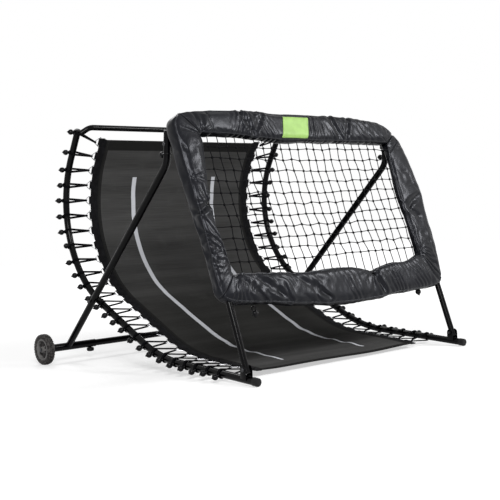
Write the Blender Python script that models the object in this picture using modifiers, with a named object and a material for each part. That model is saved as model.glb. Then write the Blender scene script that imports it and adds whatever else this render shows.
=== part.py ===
"""Two-way soccer rebounder: a curved bungee mat between two rails, and a padded net frame in front.

Units are metres and +Z is up. The origin is on the floor under the middle of the object, and
the net faces -Y. Left is -X. Every object is one solid piece of the rebounder.
"""

import math

import bmesh
import bpy
from mathutils import Matrix, Vector

# Side rails: the path of a rail's centre line in the YZ plane, from the front tip
RAIL_X = 0.66
RAIL_RADIUS = 0.016
TUBE_WALL = 0.0015
TIP_Y = -0.7245
TIP_Z = 0.0185
TIP_SLOPE = math.radians(4.0)
FRONT_RUN = 0.51
FRONT_BEND_RADIUS = 0.73
FRONT_BEND = math.radians(23.0)
MIDDLE_RUN = 0.364
BACK_BEND_RADIUS = 0.50
BACK_BEND = math.radians(94.0)
TOP_RUN = 0.151
SPLICE_AT = 0.90
SPLICE_LENGTH = 0.12
SPLICE_RADIUS = 0.0142

# Feet and caps of the rails
FOOT_LENGTH = 0.032
FOOT_RADIUS = 0.0205
FOOT_END = 0.0035
CAP_HEAD = 0.004

# Top bar
TOP_BAR_RADIUS = 0.014
TOP_BAR_Y = 0.503
TOP_BAR_Z = 1.1430
TOP_BAR_HALF = 0.60
TOP_BAR_AT = 2.120

# Rear axle line, crossbar, sleeves and wheels
AXLE_Y = 0.654
WHEEL_RADIUS = 0.075
WHEEL_WIDTH = 0.036
WHEEL_X = 0.828
HUB_RADIUS = 0.0520
HUB_BORE = 0.0066
CROSSBAR_HALF = 0.70
SLEEVE_RADIUS = 0.0188
SLEEVE_IN = 0.545
SLEEVE_OUT = 0.800
SLEEVE_BOLT_X = 0.571
AXLE_RADIUS = 0.006
PLUG_LENGTH = 0.05

# Struts
STRUT_X = 0.695
STRUT_RADIUS = 0.016
STRUT_BEND = (-0.245, 0.907)
STRUT_TOP = (-0.262, 1.045)
STRUT_BEND_RADIUS = 0.08
CROSSING = (0.405, 0.3055)
CROSSING_AT = 1.185
PIN_RADIUS = 0.004
PIN_DROP = 0.055
TIE_DROP = 0.097
NOTCH_PLAY = 0.0018

# Net frame, in its own plane: X across, Z up the frame, +Y behind it
PIVOT_Y = -0.656
PIVOT_Z = 0.064
LEAN = math.radians(18.3)
FRAME_X = 0.66
FRAME_RADIUS = 0.014
FRAME_TOP = 1.0675
FRAME_CORNER = 0.085
LOWER_BAR = 0.335
LEG_END = -0.016

# Hinge brackets
EAR_GAP = 0.0155
EAR_THICKNESS = 0.003
EAR_RADIUS = 0.017

# Pads, in the frame's plane
PAD_X = 0.6525
PAD_HALF_WIDTH = 0.0525
PAD_HALF_DEPTH = 0.030
PAD_CORNER = 0.090
PAD_TOP_HALF = 0.0600
PAD_LOW_HALF = 0.0680
PAD_SAG = 0.045
PAD_OUTER = 0.705
PAD_OUTER_CORNER = 0.18
PAD_SLIT = 0.0035
PAD_SQUARENESS = 0.75
PAD_SECTION_POINTS = 12
PAD_TIE_X = 0.535
PAD_TIE_TOP = 0.254
PAD_TIE_BALL = 0.213
PATCH_X = -0.034
PATCH_HALF_WIDTH = 0.067
PATCH_HALF = 0.046
PATCH_THICKNESS = 0.0016

# Net
NET_COLUMNS = 18
NET_ROWS = 9
NET_HALF = 0.600
NET_LOW = 0.396
NET_HIGH = 1.004
NET_TAPE = 0.024
CORD = 0.0034

# Mat, rings and bungees, by distance along the rail
MAT_HALF = 0.4848
MAT_EDGE = 0.523
RING_TIP = 0.551
RING_HALF = 0.025
MAT_FRONT = 0.180
MAT_BACK = 2.090
MAT_THICKNESS = 0.003
MAT_SAG = 0.012
WEBBING_THICKNESS = 0.005
BUNGEES = 25
BUNGEE_FIRST = 0.2250
BUNGEE_PITCH = 0.0772
BUNGEE_RADIUS = 0.0036
BUNGEE_SPREAD = 0.018
BUNGEE_WRAP = 0.0240
FAN_FROM = 1.840
FAN_REACH = 0.337
BALL_RADIUS = 0.014
BALL_OFFSET = 0.0335
BALL_FROM_STRUT = 0.036

# Gap kept between pieces that touch, and round a tube whose sides are flats
GAP = 0.0003
SNUG = 0.0008

STEEL = ("black_steel", (0.030, 0.030, 0.032), 0.35, 0.3)
ZINC = ("zinc_bolts", (0.45, 0.45, 0.47), 0.35, 1.0)
PLASTIC = ("black_plastic", (0.020, 0.020, 0.022), 0.5, 0.0)
GREY = ("grey_hub", (0.20, 0.20, 0.21), 0.5, 0.0)
TYRE = ("tyre_rubber", (0.035, 0.034, 0.033), 0.85, 0.0)
WEAVE = ("mat_weave", (0.045, 0.045, 0.045), 0.8, 0.0)
WEBBING = ("webbing", (0.015, 0.015, 0.016), 0.8, 0.0)
VINYL = ("pad_vinyl", (0.030, 0.031, 0.034), 0.35, 0.0)
NET_CORD = ("net_cord", (0.012, 0.012, 0.012), 0.8, 0.0)
GREEN = ("green_patch", (0.33, 0.68, 0.10), 0.5, 0.0)

SIDES = (("left", -1.0), ("right", 1.0))


def new_collection(name):
    """A collection of the scene."""
    collection = bpy.data.collections.new(name)
    bpy.context.scene.collection.children.link(collection)
    return collection


def clear_scene():
    """Takes away what the scene starts with."""
    for obj in list(bpy.data.objects):
        bpy.data.objects.remove(obj, do_unlink=True)


def bore_fit(radius, wall=TUBE_WALL):
    """Radius of a round plug that fits inside a tube of eight flat sides."""
    return (radius - wall) * math.cos(math.pi / 8) - GAP


def material(finish):
    """The Principled material of a finish, made once."""
    name, colour, roughness, metallic = finish
    found = bpy.data.materials.get(name)
    if found:
        return found
    made = bpy.data.materials.new(name)
    made.use_nodes = True
    shader = made.node_tree.nodes["Principled BSDF"]
    shader.inputs["Base Color"].default_value = (*colour, 1.0)
    shader.inputs["Roughness"].default_value = roughness
    shader.inputs["Metallic"].default_value = metallic
    made.diffuse_color = (*colour, 1.0)
    return made


def add_object(name, data, finish, parent=None):
    """A new part of the rebounder, in the finish given."""
    obj = bpy.data.objects.new(name, data)
    parts.objects.link(obj)
    data.materials.append(material(finish))
    obj.parent = parent
    return obj


def make_cutter(obj):
    """Moves an object to the cutters, where the build leaves it out."""
    for owner in list(obj.users_collection):
        owner.objects.unlink(obj)
    cutters.objects.link(obj)
    obj.hide_render = True
    obj.display_type = "WIRE"
    return obj


def boolean(obj, other, operation="DIFFERENCE"):
    """Cuts an object by another, or joins the two."""
    modifier = obj.modifiers.new(other.name, "BOOLEAN")
    modifier.operation = operation
    modifier.solver = "EXACT"
    modifier.object = other


def polyline(name, points, radius, resolution, finish, caps=True, cyclic=False, parent=None, swell=None):
    """A round bar along straight runs between points, as a curve; swell scales its radius at each."""
    curve = bpy.data.curves.new(name, "CURVE")
    curve.dimensions = "3D"
    curve.bevel_depth = radius
    curve.bevel_resolution = resolution
    curve.use_fill_caps = caps
    spline = curve.splines.new("POLY")
    spline.points.add(len(points) - 1)
    for i, (point, place) in enumerate(zip(spline.points, points)):
        point.co = (*place, 1.0)
        point.radius = swell[i] if swell else 1.0
    spline.use_cyclic_u = cyclic
    return add_object(name, curve, finish, parent)


def as_mesh(curve):
    """The curve's evaluated shape as a mesh object in its place."""
    graph = bpy.context.evaluated_depsgraph_get()
    mesh = bpy.data.meshes.new_from_object(curve.evaluated_get(graph))
    name = curve.name
    parent = curve.parent
    matrix = curve.matrix_world.copy() if parent is None else curve.matrix_basis.copy()
    bpy.data.objects.remove(curve, do_unlink=True)
    shape = bmesh.new()
    shape.from_mesh(mesh)
    bmesh.ops.remove_doubles(shape, verts=shape.verts, dist=0.00002)
    shape.to_mesh(mesh)
    shape.free()
    obj = bpy.data.objects.new(name, mesh)
    parts.objects.link(obj)
    obj.parent = parent
    obj.matrix_basis = matrix
    return obj


def smooth(obj):
    """Shades a round piece smooth, with its sharp edges kept."""
    obj.data.shade_smooth()
    obj.data.set_sharp_from_angle(angle=math.radians(35.0))
    return obj


def tube(name, points, radius, finish, resolution=2, wall=TUBE_WALL, parent=None):
    """A hollow tube with open ends along the points."""
    obj = as_mesh(polyline(name, points, radius, resolution, finish, caps=False, parent=parent))
    shell = obj.modifiers.new("wall", "SOLIDIFY")
    shell.thickness = wall
    shell.offset = -1.0
    shell.use_even_offset = True
    return smooth(obj)


def rod(name, points, radius, finish, resolution=3, parent=None, cyclic=False):
    """A solid round bar along the points."""
    caps = not cyclic
    bar = polyline(name, points, radius, resolution, finish, caps=caps, cyclic=cyclic, parent=parent)
    return smooth(as_mesh(bar))


def from_bmesh(name, shape, finish, parent=None):
    """A part from a finished bmesh."""
    mesh = bpy.data.meshes.new(name)
    shape.to_mesh(mesh)
    shape.free()
    return add_object(name, mesh, finish, parent)


def box(name, low, high, finish, parent=None, bevel=0.0):
    """A box between two corners, its edges rounded if asked."""
    low = Vector(low)
    high = Vector(high)
    shape = bmesh.new()
    bmesh.ops.create_cube(shape, size=1.0)
    bmesh.ops.scale(shape, verts=shape.verts, vec=high - low)
    bmesh.ops.translate(shape, verts=shape.verts, vec=(low + high) / 2)
    obj = from_bmesh(name, shape, finish, parent)
    if bevel:
        modifier = obj.modifiers.new("edges", "BEVEL")
        modifier.width = bevel
        modifier.segments = 2
    return obj


def turned(name, profile, finish, place, direction, steps=12, closed=False, parent=None):
    """A turned piece: the profile of (radius, height) pairs runs down its outer side."""
    mesh = bpy.data.meshes.new(name)
    points = [(radius, 0.0, height) for radius, height in profile]
    edges = [(i, i + 1) for i in range(len(points) - 1)]
    if closed:
        edges.append((len(points) - 1, 0))
    mesh.from_pydata(points, edges, [])
    obj = add_object(name, mesh, finish, parent)
    screw = obj.modifiers.new("turn", "SCREW")
    screw.axis = "Z"
    screw.angle = math.tau
    screw.steps = steps
    screw.render_steps = steps
    screw.use_merge_vertices = True
    screw.merge_threshold = 0.00005
    screw.use_smooth_shade = True
    turn = Vector((0, 0, 1)).rotation_difference(Vector(direction).normalized())
    if abs(Vector(direction).normalized().x) > 0.999:
        turn = Matrix.Rotation(math.copysign(math.pi / 2, direction[0]), 3, "Y").to_quaternion()
    obj.matrix_basis = Matrix.Translation(place) @ turn.to_matrix().to_4x4()
    return obj


def cylinder_profile(radius, low, high):
    """The profile of a plain cylinder."""
    return [(0, high), (radius, high), (radius, low), (0, low)]


def cylinder_cutter(name, radius, centre, direction, length, steps=12, parent=None):
    """A round cutter of this length, centred."""
    half = length / 2
    profile = cylinder_profile(radius, -half, half)
    return make_cutter(turned(name, profile, STEEL, centre, direction, steps, parent=parent))


def bolt_profile(length, radius, head_radius, head):
    """A bolt from its domed head at the top down to its tip."""
    return [
        (0, length / 2 + head),
        (head_radius * 0.55, length / 2 + head * 0.85),
        (head_radius, length / 2 + head * 0.35),
        (head_radius, length / 2),
        (radius, length / 2),
        (radius, -length / 2),
        (0, -length / 2),
    ]


def hex_nut(name, place, across, thickness, bore, finish, parent=None):
    """A hexagonal nut on an X axis, with its bore."""
    bore /= math.cos(math.pi / 6)
    half = thickness / 2
    profile = [(bore, half), (across / 2, half), (across / 2, -half), (bore, -half)]
    return turned(name, profile, finish, place, (1, 0, 0), steps=6, closed=True, parent=parent)


def rail_at(distance):
    """The rail's centre line: (y, z, slope angle) at this distance from the front tip."""
    y, z, slope = TIP_Y, TIP_Z, TIP_SLOPE
    runs = (
        (FRONT_RUN, 0.0),
        (FRONT_BEND_RADIUS * FRONT_BEND, FRONT_BEND),
        (MIDDLE_RUN, 0.0),
        (BACK_BEND_RADIUS * BACK_BEND, BACK_BEND),
        (TOP_RUN, 0.0),
    )
    for length, turn in runs:
        step = min(distance, length)
        if turn:
            radius = length / turn
            swept = step / radius
            y += radius * (math.sin(slope + swept) - math.sin(slope))
            z -= radius * (math.cos(slope + swept) - math.cos(slope))
            slope += swept
        else:
            y += step * math.cos(slope)
            z += step * math.sin(slope)
        distance -= step
        if distance <= 1e-9:
            break
    return y, z, slope


RAIL_LENGTH = (
    FRONT_RUN + FRONT_BEND_RADIUS * FRONT_BEND + MIDDLE_RUN + BACK_BEND_RADIUS * BACK_BEND + TOP_RUN
)


def rail_stations(start, end):
    """Distances along the rail that follow its bends: each run's ends, and steps along the arcs."""
    first_arc = FRONT_RUN
    first_end = first_arc + FRONT_BEND_RADIUS * FRONT_BEND
    second_arc = first_end + MIDDLE_RUN
    second_end = second_arc + BACK_BEND_RADIUS * BACK_BEND
    marks = [0.0]
    marks += [first_arc + (first_end - first_arc) * i / 4 for i in range(5)]
    marks += [second_arc + (second_end - second_arc) * i / 11 for i in range(12)]
    marks += [RAIL_LENGTH]
    inside = [mark for mark in marks if start + 0.01 < mark < end - 0.01]
    return [start] + inside + [end]


def rail_points(side, start, end):
    """Points of one rail's centre line between two distances."""
    points = []
    for distance in rail_stations(start, end):
        y, z, _ = rail_at(distance)
        points.append((side * RAIL_X, y, z))
    return points


def rounded_path(corners, radius, steps):
    """Points along straight runs between 3D corners, with each inner corner rounded by an arc."""
    corners = [Vector(corner) for corner in corners]
    points = [corners[0]]
    for before, corner, after in zip(corners, corners[1:], corners[2:]):
        into = (before - corner).normalized()
        out = (after - corner).normalized()
        half_angle = into.angle(out) / 2
        setback = radius / math.tan(half_angle)
        centre = corner + (into + out).normalized() * radius / math.sin(half_angle)
        start = corner + into * setback - centre
        turn = math.pi - 2 * half_angle
        axis = into.cross(out).normalized()
        for i in range(steps + 1):
            points.append(centre + Matrix.Rotation(-turn * i / steps, 3, axis) @ start)
    points.append(corners[-1])
    return points


def make_rail(name, side):
    """A side rail in two lengths with a spigot inside, its foot and its top cap."""
    front_path = rail_points(side, 0.0, SPLICE_AT - GAP / 2)
    back_path = rail_points(side, SPLICE_AT + GAP / 2, RAIL_LENGTH)
    front = tube(f"{name}_rail_front", front_path, RAIL_RADIUS, STEEL)
    back = tube(f"{name}_rail_back", back_path, RAIL_RADIUS, STEEL)
    start, end = SPLICE_AT - SPLICE_LENGTH / 2, SPLICE_AT + SPLICE_LENGTH / 2
    ends = [(side * RAIL_X, *rail_at(mark)[:2]) for mark in (start, end)]
    tube(f"{name}_rail_splice", ends, SPLICE_RADIUS - GAP, STEEL, resolution=2)
    cup = [
        (0, FOOT_END),
        (FOOT_RADIUS * 0.7, FOOT_END),
        (FOOT_RADIUS, FOOT_END * 0.2),
        (FOOT_RADIUS, -FOOT_LENGTH),
        (RAIL_RADIUS + SNUG, -FOOT_LENGTH),
        (RAIL_RADIUS + SNUG, GAP),
        (0, GAP),
    ]
    forward = Vector((0, -math.cos(TIP_SLOPE), -math.sin(TIP_SLOPE)))
    foot = turned(f"{name}_front_foot", cup, PLASTIC, (side * RAIL_X, TIP_Y, TIP_Z), forward, steps=12)
    below = (side * RAIL_X - 0.03, TIP_Y - 0.02, -0.02)
    ground = (side * RAIL_X + 0.03, TIP_Y + 0.06, 0.0)
    boolean(foot, make_cutter(box(f"{name}_foot_flat", below, ground, PLASTIC)))
    top_y, top_z, slope = rail_at(RAIL_LENGTH)
    along = Vector((0, math.cos(slope), math.sin(slope)))
    stem = bore_fit(RAIL_RADIUS)
    profile = [
        (0, CAP_HEAD),
        (stem, CAP_HEAD),
        (RAIL_RADIUS, CAP_HEAD * 0.4),
        (RAIL_RADIUS, GAP),
        (stem, GAP),
        (stem, -0.0095),
        (0, -0.0095),
    ]
    turned(f"{name}_rail_cap", profile, PLASTIC, (side * RAIL_X, top_y, top_z), along, steps=8)
    return front, back


def make_top_bar(rails):
    """The bar between the rail tops, its bent ends notched to the rails, and the bolt of each end."""
    end_y, end_z, slope = rail_at(TOP_BAR_AT)
    corners = [
        (-RAIL_X, end_y, end_z),
        (-TOP_BAR_HALF, TOP_BAR_Y, TOP_BAR_Z),
        (TOP_BAR_HALF, TOP_BAR_Y, TOP_BAR_Z),
        (RAIL_X, end_y, end_z),
    ]
    bar = tube("top_bar", rounded_path(corners, 0.045, 2), TOP_BAR_RADIUS, STEEL)
    along = (0, math.cos(slope), math.sin(slope))
    for (name, side), rail in zip(SIDES, rails):
        centre = Vector((side * RAIL_X, end_y, end_z))
        notch = cylinder_cutter(f"{name}_bar_notch", RAIL_RADIUS + SNUG, centre, along, 0.08, steps=16)
        boolean(bar, notch)
        shank = RAIL_RADIUS + 0.024
        place = centre + Vector((side * (RAIL_RADIUS + SNUG - shank / 2), 0, 0))
        bolt = bolt_profile(shank, PIN_RADIUS, 0.009, 0.006)
        turned(f"{name}_top_bar_bolt", bolt, ZINC, place, (side, 0, 0), steps=6)
        hole = cylinder_cutter(f"{name}_bar_bolt_hole", PIN_RADIUS + GAP, place, (1, 0, 0), shank + 0.01)
        boolean(rail, hole)
        boolean(bar, hole)


def strut_path(side):
    """The strut's centre line from its foot sleeve to its top."""
    foot = (side * STRUT_X, AXLE_Y, WHEEL_RADIUS)
    bend = (side * STRUT_X, *STRUT_BEND)
    top = (side * STRUT_X, *STRUT_TOP)
    return rounded_path([foot, bend, top], STRUT_BEND_RADIUS, 3)


def make_strut(name, side, rail):
    """A strut welded to its foot sleeve, the bolts that hold it, and its top pin."""
    strut = tube(f"{name}_strut", strut_path(side), STRUT_RADIUS, STEEL)
    axle = Vector((side * STRUT_X, AXLE_Y, WHEEL_RADIUS))
    foot_cut = f"{name}_strut_foot_cut"
    boolean(strut, cylinder_cutter(foot_cut, SLEEVE_RADIUS - 0.001, axle, (1, 0, 0), 0.05, steps=16))
    sleeve_ends = [(side * x, AXLE_Y, WHEEL_RADIUS) for x in (SLEEVE_IN, SLEEVE_OUT)]
    sleeve_wall = SLEEVE_RADIUS - RAIL_RADIUS - GAP
    sleeve = tube(f"{name}_sleeve", sleeve_ends, SLEEVE_RADIUS, STEEL, wall=sleeve_wall)
    boolean(strut, make_cutter(sleeve), "UNION")
    bolt_at = Vector((side * SLEEVE_BOLT_X, AXLE_Y, WHEEL_RADIUS - 0.004))
    knob = [
        (0, 0.019),
        (PIN_RADIUS, 0.019),
        (PIN_RADIUS, -0.0155),
        (0.010, -0.0175),
        (0.010, -0.028),
        (0.006, -0.031),
        (0, -0.031),
    ]
    turned(f"{name}_sleeve_knob", knob, PLASTIC, bolt_at, (0, 0, 1), steps=8)
    hole_at = bolt_at - Vector((0, 0, 0.005))
    lock_hole = cylinder_cutter(f"{name}_lock_hole", PIN_RADIUS + GAP, hole_at, (0, 0, 1), 0.058)
    boolean(strut, lock_hole)
    boolean(crossbar, lock_hole)
    cross = Vector((side * (RAIL_X + STRUT_X) / 2, *CROSSING))
    shank = 0.078
    bolt = bolt_profile(shank, PIN_RADIUS, 0.0095, 0.006)
    turned(f"{name}_strut_bolt", bolt, ZINC, cross + Vector((side * 0.0015, 0, 0)), (side, 0, 0), steps=6)
    nut_at = cross - Vector((side * 0.0369, 0, 0))
    hex_nut(f"{name}_strut_nut", nut_at, 0.016, 0.006, PIN_RADIUS + GAP, ZINC)
    cross_hole = cylinder_cutter(f"{name}_cross_hole", PIN_RADIUS + GAP, cross, (1, 0, 0), 0.10)
    boolean(strut, cross_hole)
    boolean(rail, cross_hole)
    spacer_half = (STRUT_X - RAIL_X - STRUT_RADIUS - RAIL_RADIUS) / 2 - GAP
    bore = PIN_RADIUS + SNUG
    ring = [(bore, spacer_half), (0.009, spacer_half), (0.009, -spacer_half), (bore, -spacer_half)]
    turned(f"{name}_strut_spacer", ring, PLASTIC, cross, (1, 0, 0), steps=6, closed=True)
    pin_at = Vector((side * STRUT_X, *pin_place()))
    pin_hole = cylinder_cutter(f"{name}_pin_hole", PIN_RADIUS + GAP, pin_at, (1, 0, 0), 0.06)
    boolean(strut, pin_hole)
    pin = bolt_profile(0.056, PIN_RADIUS, 0.009, 0.005)
    turned(f"{name}_strut_pin", pin, ZINC, pin_at - Vector((side * 0.0115, 0, 0)), (side, 0, 0), steps=6)
    stem = bore_fit(STRUT_RADIUS)
    top = Vector((side * STRUT_X, *STRUT_TOP))
    lean = (top - Vector((side * STRUT_X, *STRUT_BEND))).normalized()
    cap = [
        (0, CAP_HEAD),
        (stem, CAP_HEAD),
        (STRUT_RADIUS, CAP_HEAD * 0.4),
        (STRUT_RADIUS, GAP),
        (stem, GAP),
        (stem, -0.012),
        (0, -0.012),
    ]
    turned(f"{name}_strut_cap", cap, PLASTIC, top, lean, steps=8)


def pin_place():
    """Where the strut's top pin crosses the strut, as (y, z)."""
    top = Vector(STRUT_TOP)
    down = (Vector(STRUT_BEND) - top).normalized()
    return tuple(top + down * PIN_DROP)


def make_wheel(name, side):
    """One transport wheel: tyre, hub and cap, with the axle bolt and its plug in the sleeve."""
    centre = Vector((side * WHEEL_X, AXLE_Y, WHEEL_RADIUS))
    half = WHEEL_WIDTH / 2
    tread = [
        (HUB_RADIUS + SNUG, half * 0.75),
        (0.065, half),
        (0.0725, half * 0.80),
        (WHEEL_RADIUS, half * 0.35),
        (WHEEL_RADIUS, -half * 0.35),
        (0.0725, -half * 0.80),
        (0.065, -half),
        (HUB_RADIUS + SNUG, -half * 0.75),
    ]
    turned(f"{name}_tyre", tread, TYRE, centre, (side, 0, 0), steps=20, closed=True)
    rim = [
        (HUB_BORE, half * 0.95),
        (0.013, half * 0.95),
        (0.016, half * 0.30),
        (0.040, half * 0.30),
        (HUB_RADIUS, half * 0.75),
        (HUB_RADIUS, -half * 0.75),
        (0.040, -half * 0.30),
        (0.016, -half * 0.30),
        (0.013, -half * 0.95),
        (HUB_BORE, -half * 0.95),
    ]
    hub = turned(f"{name}_hub", rim, GREY, centre, (side, 0, 0), steps=12, closed=True)
    for i in range(5):
        angle = math.tau * (i + 0.5) / 5
        place = centre + Vector((0, 0.0285 * math.sin(angle), 0.0285 * math.cos(angle)))
        boolean(hub, cylinder_cutter(f"{name}_window_{i}", 0.0085, place, (1, 0, 0), 0.03, steps=6))
    axle_length = WHEEL_X + half + 0.002 - (SLEEVE_OUT - 0.035)
    shaft = bolt_profile(axle_length, AXLE_RADIUS, 0.0095, 0.004)
    middle = (SLEEVE_OUT - 0.035) + axle_length / 2
    turned(f"{name}_axle", shaft, ZINC, (side * middle, AXLE_Y, WHEEL_RADIUS), (side, 0, 0), steps=12)
    plug_radius = bore_fit(RAIL_RADIUS + GAP, 0.0)
    ends = (PLUG_LENGTH / 2, -PLUG_LENGTH / 2)
    boss = WHEEL_X - half * 0.95 - SLEEVE_OUT - 0.0006
    plug = [
        (AXLE_RADIUS + SNUG, ends[0] + boss),
        (0.011, ends[0] + boss),
        (0.011, ends[0] + 0.003),
        (SLEEVE_RADIUS, ends[0] + 0.003),
        (SLEEVE_RADIUS, ends[0] + GAP),
        (plug_radius, ends[0] + GAP),
        (plug_radius, ends[1]),
        (AXLE_RADIUS + SNUG, ends[1]),
    ]
    plug_at = (side * (SLEEVE_OUT - PLUG_LENGTH / 2), AXLE_Y, WHEEL_RADIUS)
    turned(f"{name}_axle_plug", plug, PLASTIC, plug_at, (side, 0, 0), steps=8, closed=True)


def make_hinge(name, side, rail, legs):
    """The bracket on the rail, the hinge bolt through the leg, and its nut."""
    x = side * RAIL_X
    rail_top = PIVOT_Z - 0.0265
    outer = EAR_GAP + EAR_THICKNESS
    shape = bmesh.new()
    ears = {"radius1": EAR_RADIUS, "radius2": EAR_RADIUS, "depth": 2 * outer}
    bmesh.ops.create_cone(shape, cap_ends=True, segments=12, **ears)
    bmesh.ops.rotate(shape, verts=shape.verts, matrix=Matrix.Rotation(math.pi / 2, 3, "Y"))
    bmesh.ops.translate(shape, verts=shape.verts, vec=(x, PIVOT_Y, PIVOT_Z))
    bracket = from_bmesh(f"{name}_hinge_bracket", shape, STEEL)
    base = box(
        f"{name}_bracket_base",
        (x - outer, PIVOT_Y - EAR_RADIUS, rail_top - 0.012),
        (x + outer, PIVOT_Y + EAR_RADIUS, PIVOT_Z),
        STEEL,
    )
    boolean(bracket, make_cutter(base), "UNION")
    slot = box(
        f"{name}_bracket_slot",
        (x - EAR_GAP, PIVOT_Y - 0.03, rail_top + 0.0015),
        (x + EAR_GAP, PIVOT_Y + 0.03, PIVOT_Z + 0.03),
        STEEL,
    )
    boolean(bracket, make_cutter(slot))
    low = rail_at(0.0)
    high = rail_at(0.15)
    seat = polyline(f"{name}_bracket_seat", [(x, *low[:2]), (x, *high[:2])], RAIL_RADIUS + SNUG, 5, STEEL)
    boolean(bracket, make_cutter(as_mesh(seat)))
    pivot = Vector((x, PIVOT_Y, PIVOT_Z))
    boolean(bracket, cylinder_cutter(f"{name}_bracket_hole", PIN_RADIUS + GAP, pivot, (1, 0, 0), 0.06))
    shank = 2 * outer + 0.012
    bolt = bolt_profile(shank, PIN_RADIUS, 0.0085, 0.005)
    turned(f"{name}_hinge_bolt", bolt, ZINC, pivot + Vector((-side * 0.0055, 0, 0)), (side, 0, 0), steps=6)
    nut_x = side * (RAIL_X - outer - 0.004)
    hex_nut(f"{name}_hinge_nut", (nut_x, PIVOT_Y, PIVOT_Z), 0.015, 0.006, PIN_RADIUS + GAP, ZINC)
    leg = (side * FRAME_X, 0, 0)
    leg_hole = cylinder_cutter(f"{name}_leg_hole", PIN_RADIUS + GAP, leg, (1, 0, 0), 0.05, parent=legs)
    boolean(net_frame, leg_hole)
    stem = bore_fit(FRAME_RADIUS)
    plug = [
        (0, 0.010),
        (stem, 0.010),
        (stem, -GAP),
        (FRAME_RADIUS, -GAP),
        (FRAME_RADIUS, -0.0018),
        (0, -0.0018),
    ]
    plug_at = (side * FRAME_X, 0, LEG_END)
    turned(f"{name}_leg_plug", plug, PLASTIC, plug_at, (0, 0, 1), steps=10, parent=legs)


def make_lug(name, side, legs):
    """The hooked plate on the frame's side tube that rests on the strut's pin."""
    pin_y, pin_z = pin_place()
    across = Vector((pin_y - PIVOT_Y, pin_z - PIVOT_Z))
    up = across.x * math.sin(LEAN) + across.y * math.cos(LEAN)
    back = across.x * math.cos(LEAN) - across.y * math.sin(LEAN)
    x_in = side * (FRAME_X + 0.008)
    x_out = side * (FRAME_X + 0.013)
    low = (min(x_in, x_out), 0.004, up - 0.016)
    high = (max(x_in, x_out), back + 0.012, up + 0.016)
    plate = box(f"{name}_lug", low, high, STEEL, parent=legs)
    notch_low = (low[0] - 0.01, back, up - PIN_RADIUS - NOTCH_PLAY)
    notch_high = (high[0] + 0.01, back + 0.03, up + PIN_RADIUS + NOTCH_PLAY)
    notch = make_cutter(box(f"{name}_lug_notch", notch_low, notch_high, STEEL, parent=legs))
    seat_at = (x_in, back, up)
    seat = cylinder_cutter(f"{name}_lug_seat", PIN_RADIUS + GAP, seat_at, (1, 0, 0), 0.03, parent=legs)
    make_cutter(plate)
    boolean(net_frame, plate, "UNION")
    boolean(net_frame, notch)
    boolean(net_frame, seat)
    room_low = (low[0] - 0.001, 0.0, low[2] - 0.001)
    room_high = (high[0] + 0.001, 0.08, high[2] + 0.001)
    return make_cutter(box(f"{name}_lug_room", room_low, room_high, STEEL, parent=legs))


def frame_corners():
    """The net frame's centre line in its plane, from the left leg's end to the right one's."""
    left = [(-FRAME_X, 0, LEG_END), (-FRAME_X, 0, FRAME_TOP)]
    right = [(FRAME_X, 0, FRAME_TOP), (FRAME_X, 0, LEG_END)]
    return left + right


def pad_section(i):
    """One corner of a pad's rounded section: across the pad, and through its depth."""
    angle = math.tau * i / PAD_SECTION_POINTS
    across = math.copysign(abs(math.cos(angle)) ** PAD_SQUARENESS, math.cos(angle))
    deep = math.copysign(abs(math.sin(angle)) ** PAD_SQUARENESS, math.sin(angle))
    return PAD_HALF_WIDTH * across, PAD_HALF_DEPTH * deep


def pad_ring(name):
    """The whole padded ring round the frame, before it is parted at its corners."""
    curve = bpy.data.curves.new(name, "CURVE")
    curve.dimensions = "2D"
    outline = bpy.data.curves.new(f"{name}_section", "CURVE")
    outline.dimensions = "2D"
    section = outline.splines.new("POLY")
    section.points.add(PAD_SECTION_POINTS - 1)
    for i, point in enumerate(section.points):
        point.co = (*pad_section(i), 0.0, 1.0)
    section.use_cyclic_u = True
    section_object = bpy.data.objects.new(f"{name}_section", outline)
    cutters.objects.link(section_object)
    section_object.hide_render = True
    corners = [(-PAD_X, LOWER_BAR), (-PAD_X, FRAME_TOP), (PAD_X, FRAME_TOP), (PAD_X, LOWER_BAR)]
    path = []
    for i, (x, z) in enumerate(corners):
        centre = Vector((x - math.copysign(PAD_CORNER, x), z + (PAD_CORNER if z < 0.6 else -PAD_CORNER)))
        start = math.radians((270, 180, 90, 0)[i])
        for step in range(4):
            angle = start - math.radians(90) * step / 3
            path.append((centre.x + PAD_CORNER * math.cos(angle), centre.y + PAD_CORNER * math.sin(angle)))
        after = Vector(corners[(i + 1) % 4])
        last = Vector(path[-1])
        run = after - Vector((x, z))
        length = run.length - 2 * PAD_CORNER
        parts_of_run = max(2, round(length / 0.14))
        for step in range(1, parts_of_run):
            path.append(tuple(last + run.normalized() * length * step / parts_of_run))
    spline = curve.splines.new("POLY")
    spline.points.add(len(path) - 1)
    for point, (x, z) in zip(spline.points, path):
        point.co = (x, z, 0.0, 1.0)
    spline.use_cyclic_u = True
    curve.bevel_mode = "OBJECT"
    curve.bevel_object = section_object
    ring = as_mesh(add_object(name, curve, VINYL))
    shape = bmesh.new()
    shape.from_mesh(ring.data)
    bmesh.ops.rotate(shape, verts=shape.verts, matrix=Matrix.Rotation(math.pi / 2, 3, "X"))
    for vert in shape.verts:
        shape_pad(vert.co)
    bmesh.ops.recalc_face_normals(shape, faces=shape.faces)
    shape.to_mesh(ring.data)
    shape.free()
    return ring


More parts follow.
